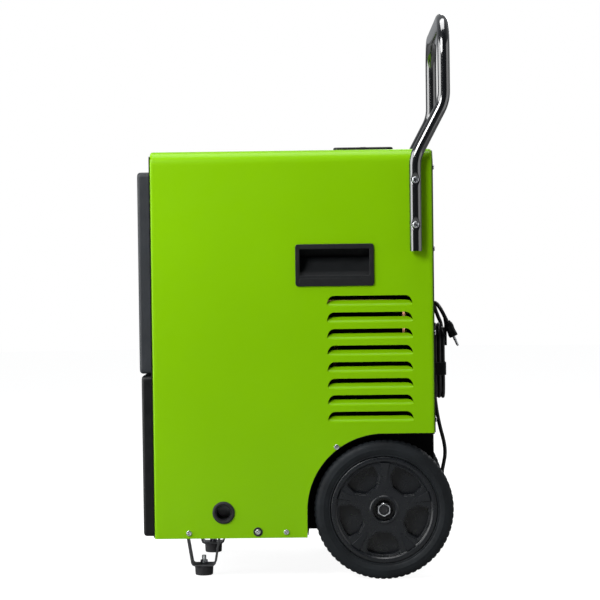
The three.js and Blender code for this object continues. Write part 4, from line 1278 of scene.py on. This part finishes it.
def make_gland():
    """The elbow gland with a ribbed boot that tapers up the lead."""
    x0 = extent("cord_gland")[0]
    flange = lathe([(0.01, 0), (15, 0), (15, 1.7), (14.3, 2.5), (0.01, 2.5)], 40)
    place(flange, lambda a, b, h: (x0 + h, GLAND_Y + a, 124 + b))
    rings = []
    stations = [((x0 + 1, 124), (12, 10)), ((x0 + 6, 123.5), (11.6, 9.9)), ((x0 + 11, 125), (10.6, 9.6)),
                ((GLAND_X - 1, 130), (9.6, 9.4)), ((GLAND_X, 137), (9.0, 9.2)), ((GLAND_X, 142), (8.8, 9.0))]
    for i, ((x, z), (deep, wide)) in enumerate(stations):
        angle = math.pi / 2 * i / (len(stations) - 1)
        along = Vector((math.sin(angle), 0, -math.cos(angle)))
        ring = []
        for a, b in circle(1, 24):
            offset = along * (a * deep)
            ring.append((x - offset.x, GLAND_Y + b * wide, z - offset.z))
        rings.append(ring)
    body = loft(rings)
    profile = [(0.01, 141), (8.7, 141)]
    for k in range(6):
        z = 142 + k * 4.2
        r = 8.5 - 0.55 * k
        profile += [(r, z), (r, z + 2.2), (r - 1.3, z + 2.5), (r - 1.4, z + 3.9)]
    profile += [(5.3, 167.2), (4.6, BOOT_TOP), (3.6, BOOT_TOP), (0.01, BOOT_TOP)]
    boot = place(lathe(profile, 32), lambda a, b, h: (GLAND_X + a, GLAND_Y + b, h))
    merge(flange, body, boot)
    add_piece("gland_moulding", flange, BLACK_PLASTIC, replaces=("cord_gland",))


make_back_panel()
make_gland()


def make_louvre_shade_board():
    """A matte near-black board hung on the back panel beside the compressor, so that one side's louvres don't
    look straight out through the other's. Its near-black face is painted shade for the dark inside seen
    through the louvres."""
    beside = extent("compressor")[3] + 3
    outline = rectangle(38, extent("back_panel")[0], 235, 630, 4, 3)
    board = plate([outline], 8, bevel=1.2, resolution=2)
    place(board, lambda a, b, c: (a, beside + c, b))
    # The board really blocks the view through; its near-black colour is painted shade for the louvres' dark
    # inside.
    add_piece("louvre_shade_board", board, SHADE_BOARD_BLACK)


make_louvre_shade_board()

# ---------------------------------------------------------------- carried-over CAD nodes

CARRIED = {
    "base_pan": (GALVANISED, 0.4), "front_frame": (BLACK_PAINT, 0.4), "air_filter": (MESH, 0.6),
    "control_board": (BOARD, 0.3), "axle": (ZINC, 0.6), "axle_cradle": (GALVANISED, 0.5),
    "water_tank": (TANK, 0.6), "tank_float": (NYLON, 0.6), "partition": (GALVANISED, 0.3),
    "drip_tray": (TANK, 0.5), "evaporator": (ALUMINIUM, 0.3), "condenser": (ALUMINIUM, 0.3),
    "fan_shroud": (GALVANISED, 0.3), "fan": (FAN, 0.5), "fan_motor": (MOTOR, 1.0),
    "compressor": (COMPRESSOR, 0.6), "discharge_pipe": (COPPER, 0.0), "suction_pipe": (COPPER, 0.0),
    "electrical_box": (GALVANISED, 0.4), "cord_hook": (BLACK_PLASTIC, 0.9),
}
for node, (material, bevel) in CARRIED.items():
    dress(node, material, bevel)
for word in SIDES:
    dress(f"wheel_well_{word}", WELL_BLACK, 0.4)
    dress(f"wheel_bush_{word}", NYLON, 0.3)
    dress(f"foot_bolt_{word}", ZINC, 0.4)

# ---------------------------------------------------------------- studio

BACKDROP = 1.0
ROOM_FRONT, ROOM_REAR = 0.03, 0.30
FLOOR_GLOW = 0.92
FLOOR_RADIUS, FLOOR_THICKNESS, FLOOR_GAP = 9000, 20, 0.5


def make_world():
    """A white backdrop for the camera. What the surfaces reflect is a room that is dark where
    the photographer stands and paler behind the machine."""
    world = bpy.data.worlds.new("studio")
    world.use_nodes = True
    nodes, links = world.node_tree.nodes, world.node_tree.links
    place = nodes.new("ShaderNodeTexCoord")
    split = nodes.new("ShaderNodeSeparateXYZ")
    depth = nodes.new("ShaderNodeMapRange")
    limits = {"From Min": -0.6, "From Max": 0.5, "To Min": ROOM_FRONT, "To Max": ROOM_REAR}
    for socket, value in limits.items():
        depth.inputs[socket].default_value = value
    room = nodes["Background"]
    room.inputs["Color"].default_value = (0.94, 0.97, 1.0, 1)
    links.new(place.outputs["Generated"], split.inputs[0])
    links.new(split.outputs["Y"], depth.inputs["Value"])
    links.new(depth.outputs["Result"], room.inputs["Strength"])
    backdrop = nodes.new("ShaderNodeBackground")
    backdrop.inputs["Color"].default_value = (1, 1, 1, 1)
    backdrop.inputs["Strength"].default_value = BACKDROP
    seen = nodes.new("ShaderNodeLightPath")
    choice = nodes.new("ShaderNodeMixShader")
    links.new(seen.outputs["Is Camera Ray"], choice.inputs[0])
    links.new(room.outputs[0], choice.inputs[1])
    links.new(backdrop.outputs[0], choice.inputs[2])
    links.new(choice.outputs[0], nodes["World Output"].inputs["Surface"])
    bpy.context.scene.world = world


def make_floor():
    """Pale paper. It glows for the camera only, so that it doesn't light the machine from below."""
    look = Look("studio_floor_paper", (0.34, 0.34, 0.34), 0.9, specular=0.1)
    look.tint(look.noise(0.6, 2), 0.985, 1.0)
    look.set("Emission Color", (1, 1, 1, 1))
    seen = look.nodes.new("ShaderNodeLightPath")
    glow = look.math("MULTIPLY", seen.outputs["Is Camera Ray"], FLOOR_GLOW)
    look.links.new(glow, look.shader.inputs["Emission Strength"])
    outline = [(0.01, 0), (FLOOR_RADIUS, 0), (FLOOR_RADIUS, -FLOOR_THICKNESS), (0.01, -FLOOR_THICKNESS)]
    disc = lathe(outline, 96)
    bmesh.ops.scale(disc, vec=(MM, MM, MM), verts=disc.verts)
    bmesh.ops.recalc_face_normals(disc, faces=disc.faces)
    mesh = bpy.data.meshes.new("studio_floor")
    disc.to_mesh(mesh)
    disc.free()
    mesh.materials.append(look.material)
    floor = new_object("studio_floor", mesh)
    floor.location.z = -FLOOR_GAP * MM


def add_light(name, at, aim, size, watts, tall=None):
    data = bpy.data.lights.new(name, "AREA")
    data.energy = watts
    data.size = size
    if tall:
        data.shape = "RECTANGLE"
        data.size_y = tall
    light = new_object(name, data)
    light.location = at
    light.rotation_euler = (Vector(aim) - Vector(at)).to_track_quat("-Z", "Y").to_euler()


make_world()
make_floor()
add_light("key_softbox", (-1.3, -2.1, 1.9), (-0.1, -0.24, 0.55), 1.1, 62)
add_light("overhead_softbox", (0.0, -0.2, 2.6), (0, 0, 0.6), 1.5, 34)
add_light("left_softbox", (-2.0, -0.55, 0.75), (0, -0.15, 0.65), 2.0, 46, tall=2.0)
add_light("right_softbox", (2.2, -0.8, 0.75), (0, -0.15, 0.65), 1.8, 10, tall=2.0)
add_light("rear_softbox", (1.0, 3.0, 2.2), (0, 0, 0.5), 1.6, 24)
bpy.context.scene.view_settings.view_transform = "Standard"
